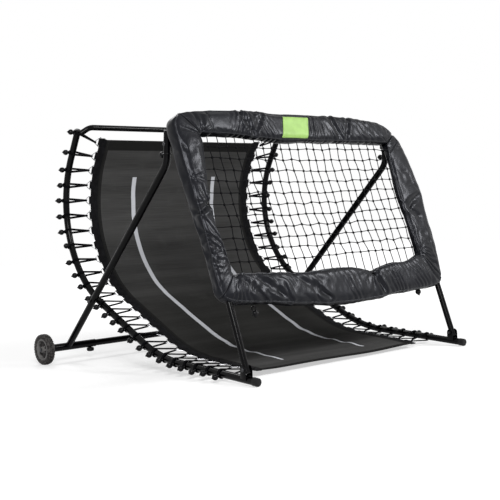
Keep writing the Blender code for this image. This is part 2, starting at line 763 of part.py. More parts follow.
def shape_pad(place):
    """Moves one point of the padded ring: wider top and bottom runs, the sag, and round top corners."""
    inside = max(0.0, 1.0 - (abs(place.x) / PAD_X) ** 2)
    if place.z > FRAME_TOP - PAD_HALF_WIDTH * 1.2:
        place.z = FRAME_TOP + (place.z - FRAME_TOP) * PAD_TOP_HALF / PAD_HALF_WIDTH
    if place.z < LOWER_BAR + PAD_HALF_WIDTH * 1.2:
        offset = (place.z - LOWER_BAR) / PAD_HALF_WIDTH
        if offset < 0:
            hang = (PAD_LOW_HALF - PAD_HALF_WIDTH + PAD_SAG) * inside
            place.z = LOWER_BAR + offset * (PAD_HALF_WIDTH + hang)
        else:
            place.z = LOWER_BAR + offset * PAD_HALF_WIDTH
    corner = Vector((PAD_OUTER - PAD_OUTER_CORNER, FRAME_TOP + PAD_TOP_HALF - PAD_OUTER_CORNER))
    reach = Vector((abs(place.x), place.z)) - corner
    if reach.x > 0 and reach.y > 0 and reach.length > PAD_OUTER_CORNER:
        held = corner + reach.normalized() * PAD_OUTER_CORNER
        place.x = math.copysign(held.x, place.x)
        place.z = held.y


def part_pads(ring, legs, lug_rooms):
    """Parts the ring at its corners into four pads, and cuts the frame's channel and the net's slit."""
    cut = math.sqrt(0.5)
    corner_planes = {
        "top_pad": [((-PAD_X, FRAME_TOP), (-cut, -cut)), ((PAD_X, FRAME_TOP), (cut, -cut))],
        "bottom_pad": [((-PAD_X, LOWER_BAR), (-cut, cut)), ((PAD_X, LOWER_BAR), (cut, cut))],
        "left_pad": [((-PAD_X, FRAME_TOP), (cut, cut)), ((-PAD_X, LOWER_BAR), (cut, -cut))],
        "right_pad": [((PAD_X, FRAME_TOP), (-cut, cut)), ((PAD_X, LOWER_BAR), (-cut, -cut))],
    }
    channel = polyline(
        "pad_channel",
        rounded_path(frame_corners(), FRAME_CORNER, 3),
        FRAME_RADIUS + 0.0012,
        4,
        VINYL,
        parent=legs,
    )
    channel = make_cutter(as_mesh(channel))
    bar_end = FRAME_X - FRAME_RADIUS / 2
    bar_ends = [(-bar_end, 0, LOWER_BAR), (bar_end, 0, LOWER_BAR)]
    low_channel = polyline("low_channel", bar_ends, FRAME_RADIUS, 4, VINYL, parent=legs)
    low_channel = make_cutter(as_mesh(low_channel))
    slit_low = (-FRAME_X, -PAD_SLIT, LOWER_BAR)
    slit_high = (FRAME_X, PAD_SLIT, FRAME_TOP)
    slit = make_cutter(box("net_slit", slit_low, slit_high, VINYL, parent=legs))
    pads = {}
    for name, planes in corner_planes.items():
        shape = bmesh.new()
        shape.from_mesh(ring.data)
        for (x, z), (nx, nz) in planes:
            normal = Vector((nx, 0, nz))
            parted = bmesh.ops.bisect_plane(
                shape,
                geom=shape.verts[:] + shape.edges[:] + shape.faces[:],
                dist=1e-7,
                plane_co=Vector((x, 0, z)) - normal * GAP / 2,
                plane_no=normal,
                clear_outer=True,
            )
            edges = [piece for piece in parted["geom_cut"] if isinstance(piece, bmesh.types.BMEdge)]
            bmesh.ops.holes_fill(shape, edges=edges, sides=0)
        bmesh.ops.recalc_face_normals(shape, faces=shape.faces)
        pad = smooth(from_bmesh(name, shape, VINYL, parent=legs))
        boolean(pad, channel)
        if name == "bottom_pad":
            boolean(pad, low_channel)
        boolean(pad, slit)
        pads[name] = pad
    for side_pad, room in zip(("left_pad", "right_pad"), lug_rooms):
        boolean(pads[side_pad], room)
        boolean(pads[side_pad], low_channel)
    bpy.data.objects.remove(ring, do_unlink=True)
    return pads


def make_net(legs):
    """The net as a flat lattice of square gaps with its border tape, which runs into the pads' slit."""
    across = grid_lines(-NET_HALF, NET_HALF, NET_COLUMNS)
    upward = grid_lines(NET_LOW, NET_HIGH, NET_ROWS)
    shape = bmesh.new()
    columns = len(across) - 1
    rows = len(upward) - 1
    bmesh.ops.create_grid(shape, x_segments=columns, y_segments=rows, size=0.5)
    for vert in shape.verts:
        i = round((vert.co.x + 0.5) * columns)
        j = round((vert.co.y + 0.5) * rows)
        vert.co = Vector((across[i], 0.0, upward[j]))
    gaps = []
    for face in shape.faces:
        centre = face.calc_center_median()
        i = sum(line < centre.x for line in across) - 1
        j = sum(line < centre.z for line in upward) - 1
        if i % 2 == 1 and j % 2 == 1:
            gaps.append(face)
    bmesh.ops.delete(shape, geom=gaps, context="FACES")
    net = from_bmesh("net", shape, NET_CORD, parent=legs)
    shell = net.modifiers.new("cord", "SOLIDIFY")
    shell.thickness = CORD
    shell.offset = 0.0
    return net


def grid_lines(low, high, count):
    """Edges of the cords along one direction: the tape, then count gaps with cords between them."""
    pitch = (high - low) / count
    lines = [low - NET_TAPE]
    for i in range(count + 1):
        line = low + pitch * i
        lines += [line - CORD / 2, line + CORD / 2]
    lines[1] = low - CORD / 2
    lines.append(high + NET_TAPE)
    return [lines[0]] + lines[2:-2] + [lines[-1]]


def make_mat():
    """The woven mat: a curved sheet that follows the rails and dips a little at its free front edge."""
    columns = 4
    marks = [MAT_FRONT, 0.35] + [mark for mark in rail_stations(0.45, 2.05)] + [MAT_BACK]
    rows = len(marks) - 1
    shape = bmesh.new()
    bmesh.ops.create_grid(shape, x_segments=columns, y_segments=rows, size=0.5)
    for vert in shape.verts:
        across = vert.co.x * 2
        mark = marks[round((vert.co.y + 0.5) * rows)]
        y, z, slope = rail_at(mark)
        near_front = max(0.0, 1.0 - (mark - MAT_FRONT) / 0.30)
        sag = MAT_SAG * (1.0 - across * across) * near_front
        vert.co = Vector((across * MAT_HALF, y + sag * math.sin(slope), z - sag * math.cos(slope)))
    bmesh.ops.recalc_face_normals(shape, faces=shape.faces)
    mat = from_bmesh("mat", shape, WEAVE)
    shell = mat.modifiers.new("cloth", "SOLIDIFY")
    shell.thickness = MAT_THICKNESS
    shell.offset = 0.0
    return mat


def bungee_marks():
    """Distances along the mat's edge of the bungees' rings."""
    return [BUNGEE_FIRST + BUNGEE_PITCH * i for i in range(BUNGEES)]


def ball_mark(mark):
    """Where the bungee of a ring grips the rail: fanned out at the top, and clear of the strut."""
    fan = max(0.0, mark - FAN_FROM)
    ball = mark + FAN_REACH * fan * fan
    away = ball - CROSSING_AT
    if abs(away) < BALL_FROM_STRUT:
        ball = CROSSING_AT + math.copysign(BALL_FROM_STRUT, away)
    return ball


def beside_rail(side, mark, x, along=0.0, inward=0.0):
    """A point by the rail at this distance: shifted along it, and inward of its curve."""
    y, z, slope = rail_at(mark)
    return Vector(
        (
            side * x,
            y + along * math.cos(slope) - inward * math.sin(slope),
            z + along * math.sin(slope) + inward * math.cos(slope),
        )
    )


def webbing_strip(name, side):
    """The webbing on the mat's edge, with a solid tooth where each V ring stands."""
    marks = [(MAT_FRONT, MAT_EDGE)]
    for mark in bungee_marks():
        marks += [(mark - RING_HALF, MAT_EDGE), (mark, RING_TIP), (mark + RING_HALF, MAT_EDGE)]
    marks.append((max(MAT_BACK, marks[-1][0] + 0.002), MAT_EDGE))
    rows = len(marks) - 1
    shape = bmesh.new()
    bmesh.ops.create_grid(shape, x_segments=1, y_segments=rows, size=0.5)
    for vert in shape.verts:
        mark, edge = marks[round((vert.co.y + 0.5) * rows)]
        reach = edge if vert.co.x > 0 else MAT_HALF + GAP
        vert.co = beside_rail(side, mark, reach)
    bmesh.ops.recalc_face_normals(shape, faces=shape.faces)
    strip = from_bmesh(f"{name}_bungee_row", shape, WEBBING)
    shell = strip.modifiers.new("webbing", "SOLIDIFY")
    shell.thickness = WEBBING_THICKNESS
    shell.offset = 0.0
    return strip


def bungee_loop(side, mark):
    """The centre line of one bungee: a V from its ring, over and under the rail, through its ball."""
    ball_x = RAIL_X + BALL_OFFSET
    grip = ball_mark(mark)
    return [
        beside_rail(side, mark, RING_TIP - 0.008),
        beside_rail(side, grip, RAIL_X, BUNGEE_SPREAD, BUNGEE_WRAP),
        beside_rail(side, grip, ball_x, BUNGEE_SPREAD * 0.3, BALL_RADIUS * 1.3),
        beside_rail(side, grip, ball_x, 0.0, BALL_RADIUS * 0.5),
        beside_rail(side, grip, ball_x, 0.0, -BALL_RADIUS * 0.5),
        beside_rail(side, grip, ball_x, -BUNGEE_SPREAD * 0.3, -BALL_RADIUS * 1.3),
        beside_rail(side, grip, RAIL_X, -BUNGEE_SPREAD, -BUNGEE_WRAP),
    ]


def make_bungee_row(name, side):
    """All bungees of one side with their balls, joined to the webbing that holds their rings."""
    strip = webbing_strip(name, side)
    fat = BALL_RADIUS / BUNGEE_RADIUS
    swell = [1.0, 1.0, 1.0, fat, fat, 1.0, 1.0]
    for i, mark in enumerate(bungee_marks()):
        cord = polyline(
            f"{name}_loop_{i}",
            bungee_loop(side, mark),
            BUNGEE_RADIUS,
            0,
            WEBBING,
            caps=False,
            cyclic=True,
            swell=swell,
        )
        boolean(strip, make_cutter(as_mesh(cord)), "UNION")


def make_tie(name, points, ball_place, finish=WEBBING, parent=None):
    """A short cord loop with its ball."""
    tie = rod(name, points, 0.003, finish, resolution=0, cyclic=True, parent=parent)
    shape = bmesh.new()
    bmesh.ops.create_uvsphere(shape, u_segments=8, v_segments=5, radius=BALL_RADIUS)
    bmesh.ops.translate(shape, verts=shape.verts, vec=ball_place)
    boolean(tie, make_cutter(from_bmesh(f"{name}_ball", shape, finish, parent=parent)), "UNION")
    return tie


def make_strut_tie(name, side):
    """The ball tie round the top of a strut."""
    top = Vector(STRUT_TOP)
    down = (Vector(STRUT_BEND) - top).normalized()
    place = top + down * TIE_DROP
    reach = STRUT_RADIUS + 0.0062
    points = []
    for i in range(8):
        angle = math.tau * i / 8
        x = side * STRUT_X + reach * math.cos(angle)
        points.append((x, place.x + reach * math.sin(angle), place.y))
    ball = (side * STRUT_X, place.x + reach + 0.010, place.y)
    make_tie(f"{name}_strut_tie", points, ball)


def make_pad_tie(name, side, legs):
    """The ball tie that hangs from the bottom pad's cover near its corner."""
    x = side * PAD_TIE_X
    wide = PAD_TIE_TOP - 0.014
    points = [(x - 0.010, 0, wide), (x, 0, PAD_TIE_BALL), (x + 0.010, 0, wide), (x, 0, PAD_TIE_TOP)]
    make_tie(f"{name}_pad_tie", points, (x, 0, PAD_TIE_BALL), parent=legs)


def make_patch(legs):
    """The plain green patch on the front of the top pad."""
    widen = PAD_TOP_HALF / PAD_HALF_WIDTH
    inner, flank = pad_section(2), pad_section(1)
    bend = inner[0] * widen
    share = (PATCH_HALF - bend) / (flank[0] * widen - bend)
    edge_depth = inner[1] + (flank[1] - inner[1]) * share
    stations = [
        (-PATCH_HALF, edge_depth),
        (-bend, inner[1]),
        (0, PAD_HALF_DEPTH),
        (bend, inner[1]),
        (PATCH_HALF, edge_depth),
    ]
    shape = bmesh.new()
    bmesh.ops.create_grid(shape, x_segments=1, y_segments=4, size=0.5)
    for vert in shape.verts:
        offset, depth = stations[round((vert.co.y + 0.5) * 4)]
        front = depth + PATCH_THICKNESS / 2 + 2 * GAP
        vert.co = Vector((PATCH_X + vert.co.x * 2 * PATCH_HALF_WIDTH, -front, FRAME_TOP + offset))
    bmesh.ops.recalc_face_normals(shape, faces=shape.faces)
    patch = from_bmesh("green_patch", shape, GREEN, parent=legs)
    shell = patch.modifiers.new("print", "SOLIDIFY")
    shell.thickness = PATCH_THICKNESS
    shell.offset = 0.0


clear_scene()
parts = new_collection("soccer_rebounder")
cutters = new_collection("cutters")

hinge = bpy.data.objects.new("net_frame_hinge", None)
parts.objects.link(hinge)
hinge.location = (0.0, PIVOT_Y, PIVOT_Z)
hinge.rotation_euler = (-LEAN, 0.0, 0.0)

frame_path = rounded_path(frame_corners(), FRAME_CORNER, 3)
net_frame = tube("net_frame", frame_path, FRAME_RADIUS, STEEL, parent=hinge)
lower_half = FRAME_X - FRAME_RADIUS - GAP
lower_bar = tube(
    "net_frame_lower_bar",
    [(-lower_half, 0, LOWER_BAR), (lower_half, 0, LOWER_BAR)],
    FRAME_RADIUS - 0.001,
    STEEL,
    parent=hinge,
)
crossbar = tube(
    "rear_crossbar",
    [(-CROSSBAR_HALF, AXLE_Y, WHEEL_RADIUS), (CROSSBAR_HALF, AXLE_Y, WHEEL_RADIUS)],
    RAIL_RADIUS,
    STEEL,
)

back_rails = []
lug_rooms = []
for side_name, side_sign in SIDES:
    front_rail, back_rail = make_rail(side_name, side_sign)
    back_rails.append(back_rail)
    make_strut(side_name, side_sign, back_rail)
    make_wheel(side_name, side_sign)
    make_hinge(side_name, side_sign, front_rail, hinge)
    lug_rooms.append(make_lug(side_name, side_sign, hinge))
    make_bungee_row(side_name, side_sign)
    make_strut_tie(side_name, side_sign)
    make_pad_tie(side_name, side_sign, hinge)

make_top_bar(back_rails)
make_mat()
make_net(hinge)
part_pads(pad_ring("pad_ring"), hinge, lug_rooms)
make_patch(hinge)
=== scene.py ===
"""The dressed soccer rebounder, in metres: finished pieces on its frame, net side to -Y."""

import logging
import math
import random
from collections.abc import Callable, Iterable, Sequence
from dataclasses import dataclass
from enum import Enum

import bmesh
import bpy
from mathutils import Matrix, Vector, noise
from mathutils.bvhtree import BVHTree


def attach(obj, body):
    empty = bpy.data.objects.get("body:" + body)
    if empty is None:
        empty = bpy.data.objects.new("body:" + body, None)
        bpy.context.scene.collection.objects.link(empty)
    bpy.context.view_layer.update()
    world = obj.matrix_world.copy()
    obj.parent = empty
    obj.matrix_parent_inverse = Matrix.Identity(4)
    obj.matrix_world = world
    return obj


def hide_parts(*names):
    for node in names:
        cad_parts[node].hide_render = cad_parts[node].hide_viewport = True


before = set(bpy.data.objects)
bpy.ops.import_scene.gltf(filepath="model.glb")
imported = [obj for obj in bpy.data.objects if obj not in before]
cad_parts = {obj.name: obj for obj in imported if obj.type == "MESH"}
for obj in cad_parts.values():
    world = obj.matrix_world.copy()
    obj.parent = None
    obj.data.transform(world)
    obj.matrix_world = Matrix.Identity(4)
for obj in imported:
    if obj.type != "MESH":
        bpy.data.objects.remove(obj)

log = logging.getLogger("rebounder")

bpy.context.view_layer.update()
STAND = "stand"
PANEL = "net_panel"
MERGE = 1e-6
X_AXIS = Vector((1.0, 0.0, 0.0))
Z_AXIS = Vector((0.0, 0.0, 1.0))
MIX_COLOURS = (6, 7)  # the Mix node's sockets for two colours, and for their mixture
MIX_RESULT = 2

Shape = bmesh.types.BMesh
Pair = tuple[float, float]
Triple = tuple[float, float, float]
Points = Sequence[Sequence[float]]


class Side(Enum):
    """A side of the rebounder, as seen from the net; its value is the sign of X."""

    LEFT = -1
    RIGHT = 1

    @property
    def word(self) -> str:
        """The side's name in piece and node names."""
        return self.name.lower()

    @property
    def out(self) -> Triple:
        """The direction away from the middle."""
        return (self.value, 0.0, 0.0)

    def at(self, x: float, y: float, z: float) -> Vector:
        """A point on this side, its x counted from the middle."""
        return Vector((self.value * x, y, z))


# Shader maths and finishes


def _maths(operation: str, flipped: bool = False) -> Callable[..., "Signal"]:
    """A method of Signal that adds a Math node.

    Args:
        operation: the node's operation.
        flipped: whether the signal is the operation's second value.

    Returns:
        The method.
    """

    def apply(self: "Signal", *others: "Signal | float") -> "Signal":
        """The operation's result."""
        values = (*others, self) if flipped else (self, *others)
        return self.sheet.node("ShaderNodeMath", {"operation": operation}, dict(enumerate(values)))

    return apply


class Signal:
    """A socket's value, which ordinary maths operators turn into Math nodes."""

    def __init__(self, sheet: "NodeSheet", socket: bpy.types.NodeSocket) -> None:
        """Wraps an output socket of a node sheet."""
        self.sheet = sheet
        self.socket = socket

    __add__ = _maths("ADD")
    __radd__ = _maths("ADD", flipped=True)
    __sub__ = _maths("SUBTRACT")
    __rsub__ = _maths("SUBTRACT", flipped=True)
    __mul__ = _maths("MULTIPLY")
    __rmul__ = _maths("MULTIPLY", flipped=True)
    __pow__ = _maths("POWER")
    __abs__ = _maths("ABSOLUTE")
    sine = _maths("SINE")
    most = _maths("MAXIMUM")

    def step(self, start: float, end: float) -> "Signal":
        """A smooth step from 0 at start to 1 at end; start may be the larger.

        Args:
            start: the value that gives 0.
            end: the value that gives 1.

        Returns:
            The stepped value.
        """
        settings = {"interpolation_type": "SMOOTHSTEP"}
        inputs = {"Value": self, "From Min": start, "From Max": end}
        return self.sheet.node("ShaderNodeMapRange", settings, inputs)


class NodeSheet:
    """The nodes of a material or a world, round its shader."""

    def __init__(self, owner: bpy.types.ID, shader: str = "Principled BSDF") -> None:
        """Starts from the shader that the owner comes with.

        Args:
            owner: the material or the world.
            shader: the shader's name.
        """
        owner.use_nodes = True
        self.tree = owner.node_tree
        self.shader = self.tree.nodes[shader]

    def node(
        self,
        kind: str,
        settings: dict[str, object] | None = None,
        inputs: dict[object, object] | None = None,
        output: object = 0,
    ) -> Signal:
        """Adds a node.

        Args:
            kind: the node's type.
            settings: the node's own settings.
            inputs: a value or a signal for each socket, by name or number.
            output: the name or number of the output that is used.

        Returns:
            The output as a signal.
        """
        made = self.tree.nodes.new(kind)
        for name, value in (settings or {}).items():
            setattr(made, name, value)
        for key, value in (inputs or {}).items():
            self.feed(made.inputs[key], value)
        return Signal(self, made.outputs[output])

    def feed(self, socket: bpy.types.NodeSocket, value: object) -> None:
        """Links a signal to a socket, or sets its value.

        Args:
            socket: the socket.
            value: the signal or the value.
        """
        if isinstance(value, Signal):
            self.tree.links.new(value.socket, socket)
        else:
            socket.default_value = value

    def surface(self, **inputs: object) -> None:
        """Feeds the shader; a socket's name is written with underscores."""
        for name, value in inputs.items():
            self.feed(self.shader.inputs[name.replace("_", " ")], value)

    def place(self, output: str = "Object") -> Signal:
        """The texture coordinates of this kind."""
        return self.node("ShaderNodeTexCoord", output=output)

    def parts(self, vector: Signal) -> tuple[Signal, Signal, Signal]:
        """The three numbers of a vector.

        Args:
            vector: the vector.

        Returns:
            Its x, y and z.
        """
        split = self.node("ShaderNodeSeparateXYZ", inputs={0: vector})
        outputs = split.socket.node.outputs
        return split, Signal(self, outputs[1]), Signal(self, outputs[2])

    def stretched(self, vector: Signal, scale: Triple) -> Signal:
        """Coordinates multiplied along each axis."""
        settings = {"operation": "MULTIPLY"}
        return self.node("ShaderNodeVectorMath", settings, {0: vector, 1: scale})

    def turned(self, vector: Signal, turn: Triple, scale: Triple) -> Signal:
        """Coordinates turned by these angles and then multiplied along each axis."""
        turning = {"Vector": vector, "Rotation": turn}
        return self.stretched(self.node("ShaderNodeMapping", inputs=turning), scale)

    def seen(self) -> Signal:
        """1 for what the camera sees itself, in a reflection or through a surface, and else 0.

        Returns:
            The signal.
        """
        kinds = ("Is Camera Ray", "Is Glossy Ray", "Is Transmission Ray")
        rays = [self.node("ShaderNodeLightPath", output=kind) for kind in kinds]
        return rays[0].most(rays[1]).most(rays[2])

    def noise(
        self, vector: Signal, scale: float, detail: float = 3.0, rough: float = 0.5
    ) -> Signal:
        """Noise from 0 to 1 at a scale in features a metre."""
        inputs = {"Vector": vector, "Scale": scale, "Detail": detail, "Roughness": rough}
        return self.node("ShaderNodeTexNoise", inputs=inputs)

    def mix(self, factor: Signal, first: object, second: object) -> Signal:
        """Two colours mixed by a factor.

        Args:
            factor: 0 gives the first colour and 1 the second.
            first: a colour or a signal.
            second: a colour or a signal.

        Returns:
            The mixed colour.
        """
        inputs = {0: factor}
        for socket, value in zip(MIX_COLOURS, (first, second)):
            inputs[socket] = value if isinstance(value, Signal) else (*value, 1.0)
        return self.node("ShaderNodeMix", {"data_type": "RGBA"}, inputs, MIX_RESULT)

    def bump(
        self, height: Signal, strength: float, distance: float, under: Signal | None = None
    ) -> Signal:
        """A bump from a height, over another bump if one is given.

        Args:
            height: the height.
            strength: how much of it shows, up to 1.
            distance: how high a height of 1 stands.
            under: the other bump.

        Returns:
            The bump.
        """
        inputs = {"Strength": strength, "Distance": distance, "Height": height}
        if under is not None:
            inputs["Normal"] = under
        return self.node("ShaderNodeBump", inputs=inputs)


@dataclass(frozen=True)
class Finish:
    """A finish: its material slot, its colour and gloss; its kind adds detail."""

    name: str
    slot: str
    colour: Triple
    roughness: float = 0.5
    metallic: float = 0.0
    shine: float = 0.5

    def material(self) -> bpy.types.Material:
        """The finish as a material, made once.

        Returns:
            The material.
        """
        name = f"rebounder_{self.name}"
        found = bpy.data.materials.get(name)
        if found:
            return found
        made = bpy.data.materials.new(name)
        made.diffuse_color = (*self.colour, 1.0)
        sheet = NodeSheet(made)
        sheet.surface(
            Base_Color=(*self.colour, 1.0),
            Roughness=self.roughness,
            Metallic=self.metallic,
            Specular_IOR_Level=self.shine,
        )
        self.dress(sheet)
        return made

    def dress(self, sheet: NodeSheet) -> None:
        """Adds the detail of this kind of finish."""
        raise NotImplementedError

    def lighter(self, times: float) -> Triple:
        """The colour, so many times as bright."""
        return tuple(min(1.0, part * times) for part in self.colour)


@dataclass(frozen=True)
class PowderCoat(Finish):
    """Gloss powder coat on steel: fine orange peel, dust and handling marks."""

    def dress(self, sheet: NodeSheet) -> None:
        """Adds orange peel, dust and scuffs.

        Args:
            sheet: the material's nodes.
        """
        place = sheet.place()
        peel = sheet.noise(place, 650.0, 2.0)
        # Real wear: this noise places the dust and the rougher scuffs, and carries no painted
        # shade.
        wear_and_painted_shade = sheet.noise(place, 17.0, 6.0, 0.62)
        scratch = sheet.noise(sheet.stretched(place, (90.0, 90.0, 700.0)), 1.0, 3.0)
        dust = wear_and_painted_shade.step(0.52, 0.78)
        sheet.surface(
            Base_Color=sheet.mix(dust, self.colour, self.lighter(1.9)),
            Roughness=self.roughness + wear_and_painted_shade * 0.16 + scratch.step(0.6, 0.75) * 0.08 - 0.06,
            Normal=sheet.bump(peel, 0.10, 0.0003),
        )


@dataclass(frozen=True)
class BareMetal(Finish):
    """Zinc plating: fine brushing and a patchy haze."""

    def dress(self, sheet: NodeSheet) -> None:
        """Adds haze and brushing.

        Args:
            sheet: the material's nodes.
        """
        place = sheet.place()
        haze = sheet.noise(place, 180.0, 4.0)
        brush = sheet.noise(sheet.stretched(place, (300.0, 2500.0, 2500.0)), 1.0, 2.0)
        sheet.surface(
            Base_Color=sheet.mix(haze.step(0.35, 0.75), self.colour, self.lighter(0.62)),
            Roughness=self.roughness + haze * 0.25 - 0.1,
            Normal=sheet.bump(brush, 0.12, 0.0002),
        )


@dataclass(frozen=True)
class MouldedPlastic(Finish):
    """Moulded plastic or rubber: a fine grain, with dust in patches."""

    grain: float = 1100.0
    dusty: float = 1.6
    patches: float = 38.0
    dusted: Pair = (0.42, 0.78)

    def dress(self, sheet: NodeSheet) -> None:
        """Adds the grain and the dust.

        Args:
            sheet: the material's nodes.
        """
        place = sheet.place()
        grain = sheet.noise(place, self.grain, 2.0)
        patches = sheet.noise(place, self.patches, 5.0, 0.6)
        dust = patches.step(*self.dusted)
        sheet.surface(
            Base_Color=sheet.mix(dust, self.colour, self.lighter(self.dusty)),
            Roughness=self.roughness + patches * 0.2 - 0.1,
            Normal=sheet.bump(grain, 0.22, 0.0005),
        )


@dataclass(frozen=True)
class Vinyl(Finish):
    """Coated cover cloth of the pads: leather grain, small creases and a soft sheen."""

    def dress(self, sheet: NodeSheet) -> None:
        """Adds the grain, creases and rubbed places.

        Args:
            sheet: the material's nodes.
        """
        place = sheet.place()
        cells = sheet.node(
            "ShaderNodeTexVoronoi",
            {"feature": "SMOOTH_F1"},
            {"Vector": place, "Scale": 620.0, "Smoothness": 0.4},
        )
        lean = sheet.turned(place, (0.0, math.radians(-24.0), 0.0), (34.0, 34.0, 8.0))
        ruck = abs(sheet.noise(lean, 1.0, 1.5, 0.4) - 0.5) * 2.0
        crease = abs(sheet.noise(lean, 2.4, 1.0, 0.5) - 0.5) * 2.0
        crinkle = sheet.noise(place, 260.0, 3.0, 0.6)
        rubbed = sheet.noise(place, 7.0, 5.0, 0.6)
        folds = sheet.bump(ruck ** 0.7, 0.08, 0.0060)
        small = sheet.bump(crease ** 0.7, 0.09, 0.0020, folds)
        fine = sheet.bump(crinkle, 0.06, 0.0005, small)
        sheet.surface(
            Base_Color=sheet.mix(rubbed.step(0.4, 0.75), self.colour, self.lighter(1.45)),
            Roughness=self.roughness + rubbed * 0.16 + crinkle * 0.08 - 0.10,
            Normal=sheet.bump(cells, 0.04, 0.0004, fine),
            Specular_Tint=(0.90, 0.92, 1.0, 1.0),
        )


@dataclass(frozen=True)
class MatCloth(Finish):
    """The mat's woven cloth with its sewn border and printed stripes, on a UV map in metres."""

    stripe: Triple = (0.50, 0.51, 0.54)
    # The colour of the painted shade on the mat's lower curve, where the mat lies in shade.
    wear_and_painted_shade: Triple = (0.0080, 0.0078, 0.0066)
    stripe_at: float = 0.262
    stripe_half: float = 0.0125
    stripe_from: float = 0.285
    stripe_to: float = 1.885
    border_from: float = 0.4620
    back_border: float = 2.035
    front_border: float = 0.205
    thread: float = 0.0030
    stitch: float = 0.009
    seams: Pair = (0.006, 0.046)

    def dress(self, sheet: NodeSheet) -> None:
        """Adds the weave, the bands, the dust, a painted shade on the lower curve, the border with
        its seams, and the stripes.

        Args:
            sheet: the material's nodes.
        """
        flat = sheet.place("UV")
        u, v, _ = sheet.parts(flat)
        across = abs(u)
        turn = math.tau / self.thread
        weave = (u * turn).sine() * (v * turn).sine()
        yarn = sheet.noise(sheet.stretched(flat, (5.0, 420.0, 1.0)), 1.0, 4.0, 0.6)
        warp = sheet.noise(sheet.stretched(flat, (420.0, 5.0, 1.0)), 1.0, 3.0, 0.6)
        bands = sheet.noise(sheet.stretched(flat, (0.8, 13.0, 1.0)), 1.0, 3.0, 0.55)
        dust = sheet.noise(flat, 6.0, 6.0, 0.62)
        border = across.step(self.border_from - 0.003, self.border_from + 0.001)
        border = border.most(v.step(self.back_border - 0.003, self.back_border + 0.001))
        border = border.most(v.step(self.front_border + 0.003, self.front_border - 0.001))
        stitch = (v * (math.tau / self.stitch)).sine().step(-0.25, 0.25)
        inner, outer = (self._line(across, self.border_from + seam) for seam in self.seams)
        rows = inner.most(outer)
        cloth = sheet.mix(bands.step(0.3, 0.72), self.lighter(0.72), self.lighter(1.22))
        cloth = sheet.mix(yarn.step(0.35, 0.75) * 0.55, cloth, self.lighter(1.7))
        cloth = sheet.mix(dust.step(0.5, 0.8) * 0.35, cloth, self.lighter(1.9))
        # Painted shade: the mat's lower curve, from v 0.3 to 1.45, darkens towards this colour.
        cloth = sheet.mix(v.step(1.45, 0.95) * v.step(0.30, 0.60) * 0.6, cloth, self.wear_and_painted_shade)
        cloth = sheet.mix(border * 0.85, cloth, self.lighter(0.16))
        cloth = sheet.mix(rows * stitch * 0.5, cloth, self.lighter(1.1))
        stripe = self._stripes(sheet, flat, across, v) * (1.0 - yarn.step(0.55, 0.9) * 0.35)
        height = weave * 0.5 + yarn * 0.5 + warp * 0.5 + border * 1.2 - rows * 0.9
        sheet.surface(
            Base_Color=sheet.mix(stripe, cloth, self.stripe),
            Roughness=self.roughness + yarn * 0.15 - stripe * 0.15 - 0.05,
            Normal=sheet.bump(height, 0.35, 0.0008),
        )

    def _stripes(self, sheet: NodeSheet, flat: Signal, across: Signal, v: Signal) -> Signal:
        """1 on the printed stripes: a little wavy, and narrower towards the front.

        Args:
            sheet: the node sheet.
            flat: the mat's UV coordinates.
            across: the distance from the mat's middle.
            v: the distance along the mat.

        Returns:
            The stripes' mask.
        """
        wave = sheet.noise(sheet.stretched(flat, (1.0, 9.0, 1.0)), 1.0, 2.0)
        narrow = v.step(0.74, 0.42) * 0.0055
        away = abs(across + (wave - 0.5) * 0.006 - self.stripe_at) + narrow
        printed = away.step(self.stripe_half + 0.0008, self.stripe_half - 0.0008)
        length = v.step(self.stripe_from - 0.001, self.stripe_from + 0.001)
        return printed * (length * v.step(self.stripe_to + 0.001, self.stripe_to - 0.001))

    @staticmethod
    def _line(across: Signal, at: float) -> Signal:
        """A thin line along the mat at this distance from its middle."""
        return abs(across - at).step(0.0016, 0.0006)


@dataclass(frozen=True)
class WovenStrap(Finish):
    """Webbing or braided cord on a UV map in metres: ribs across it and a soft fuzz."""

    rib: float = 0.0022

    def dress(self, sheet: NodeSheet) -> None:
        """Adds ribs and fuzz.

        Args:
            sheet: the material's nodes.
        """
        u, v, _ = sheet.parts(sheet.place("UV"))
        turn = math.tau / self.rib
        ribs = ((u + v) * turn).sine() * ((v - u) * turn).sine()
        place = sheet.place()
        fuzz = sheet.noise(place, 900.0, 3.0)
        shade = sheet.noise(place, 45.0, 4.0)
        sheet.surface(
            Base_Color=sheet.mix(shade.step(0.35, 0.75), self.colour, self.lighter(1.8)),
            Roughness=self.roughness + fuzz * 0.15 - 0.07,
            Normal=sheet.bump(ribs + fuzz * 0.6, 0.35, 0.0005),
        )


@dataclass(frozen=True)
class PrintedPatch(Finish):
    """The plain green patch: a printed film on cloth, a little uneven."""

    def dress(self, sheet: NodeSheet) -> None:
        """Adds the cloth under the print and its uneven colour.

        Args:
            sheet: the material's nodes.
        """
        place = sheet.place()
        tone = sheet.noise(place, 26.0, 4.0)
        weave = sheet.noise(place, 1300.0, 2.0)
        ripple = sheet.noise(place, 70.0, 3.0)
        sheet.surface(
            Base_Color=sheet.mix(tone.step(0.3, 0.75), self.colour, self.lighter(0.84)),
            Roughness=self.roughness + tone * 0.15 - 0.07,
            Normal=sheet.bump(weave * 0.3 + ripple, 0.18, 0.0012),
        )


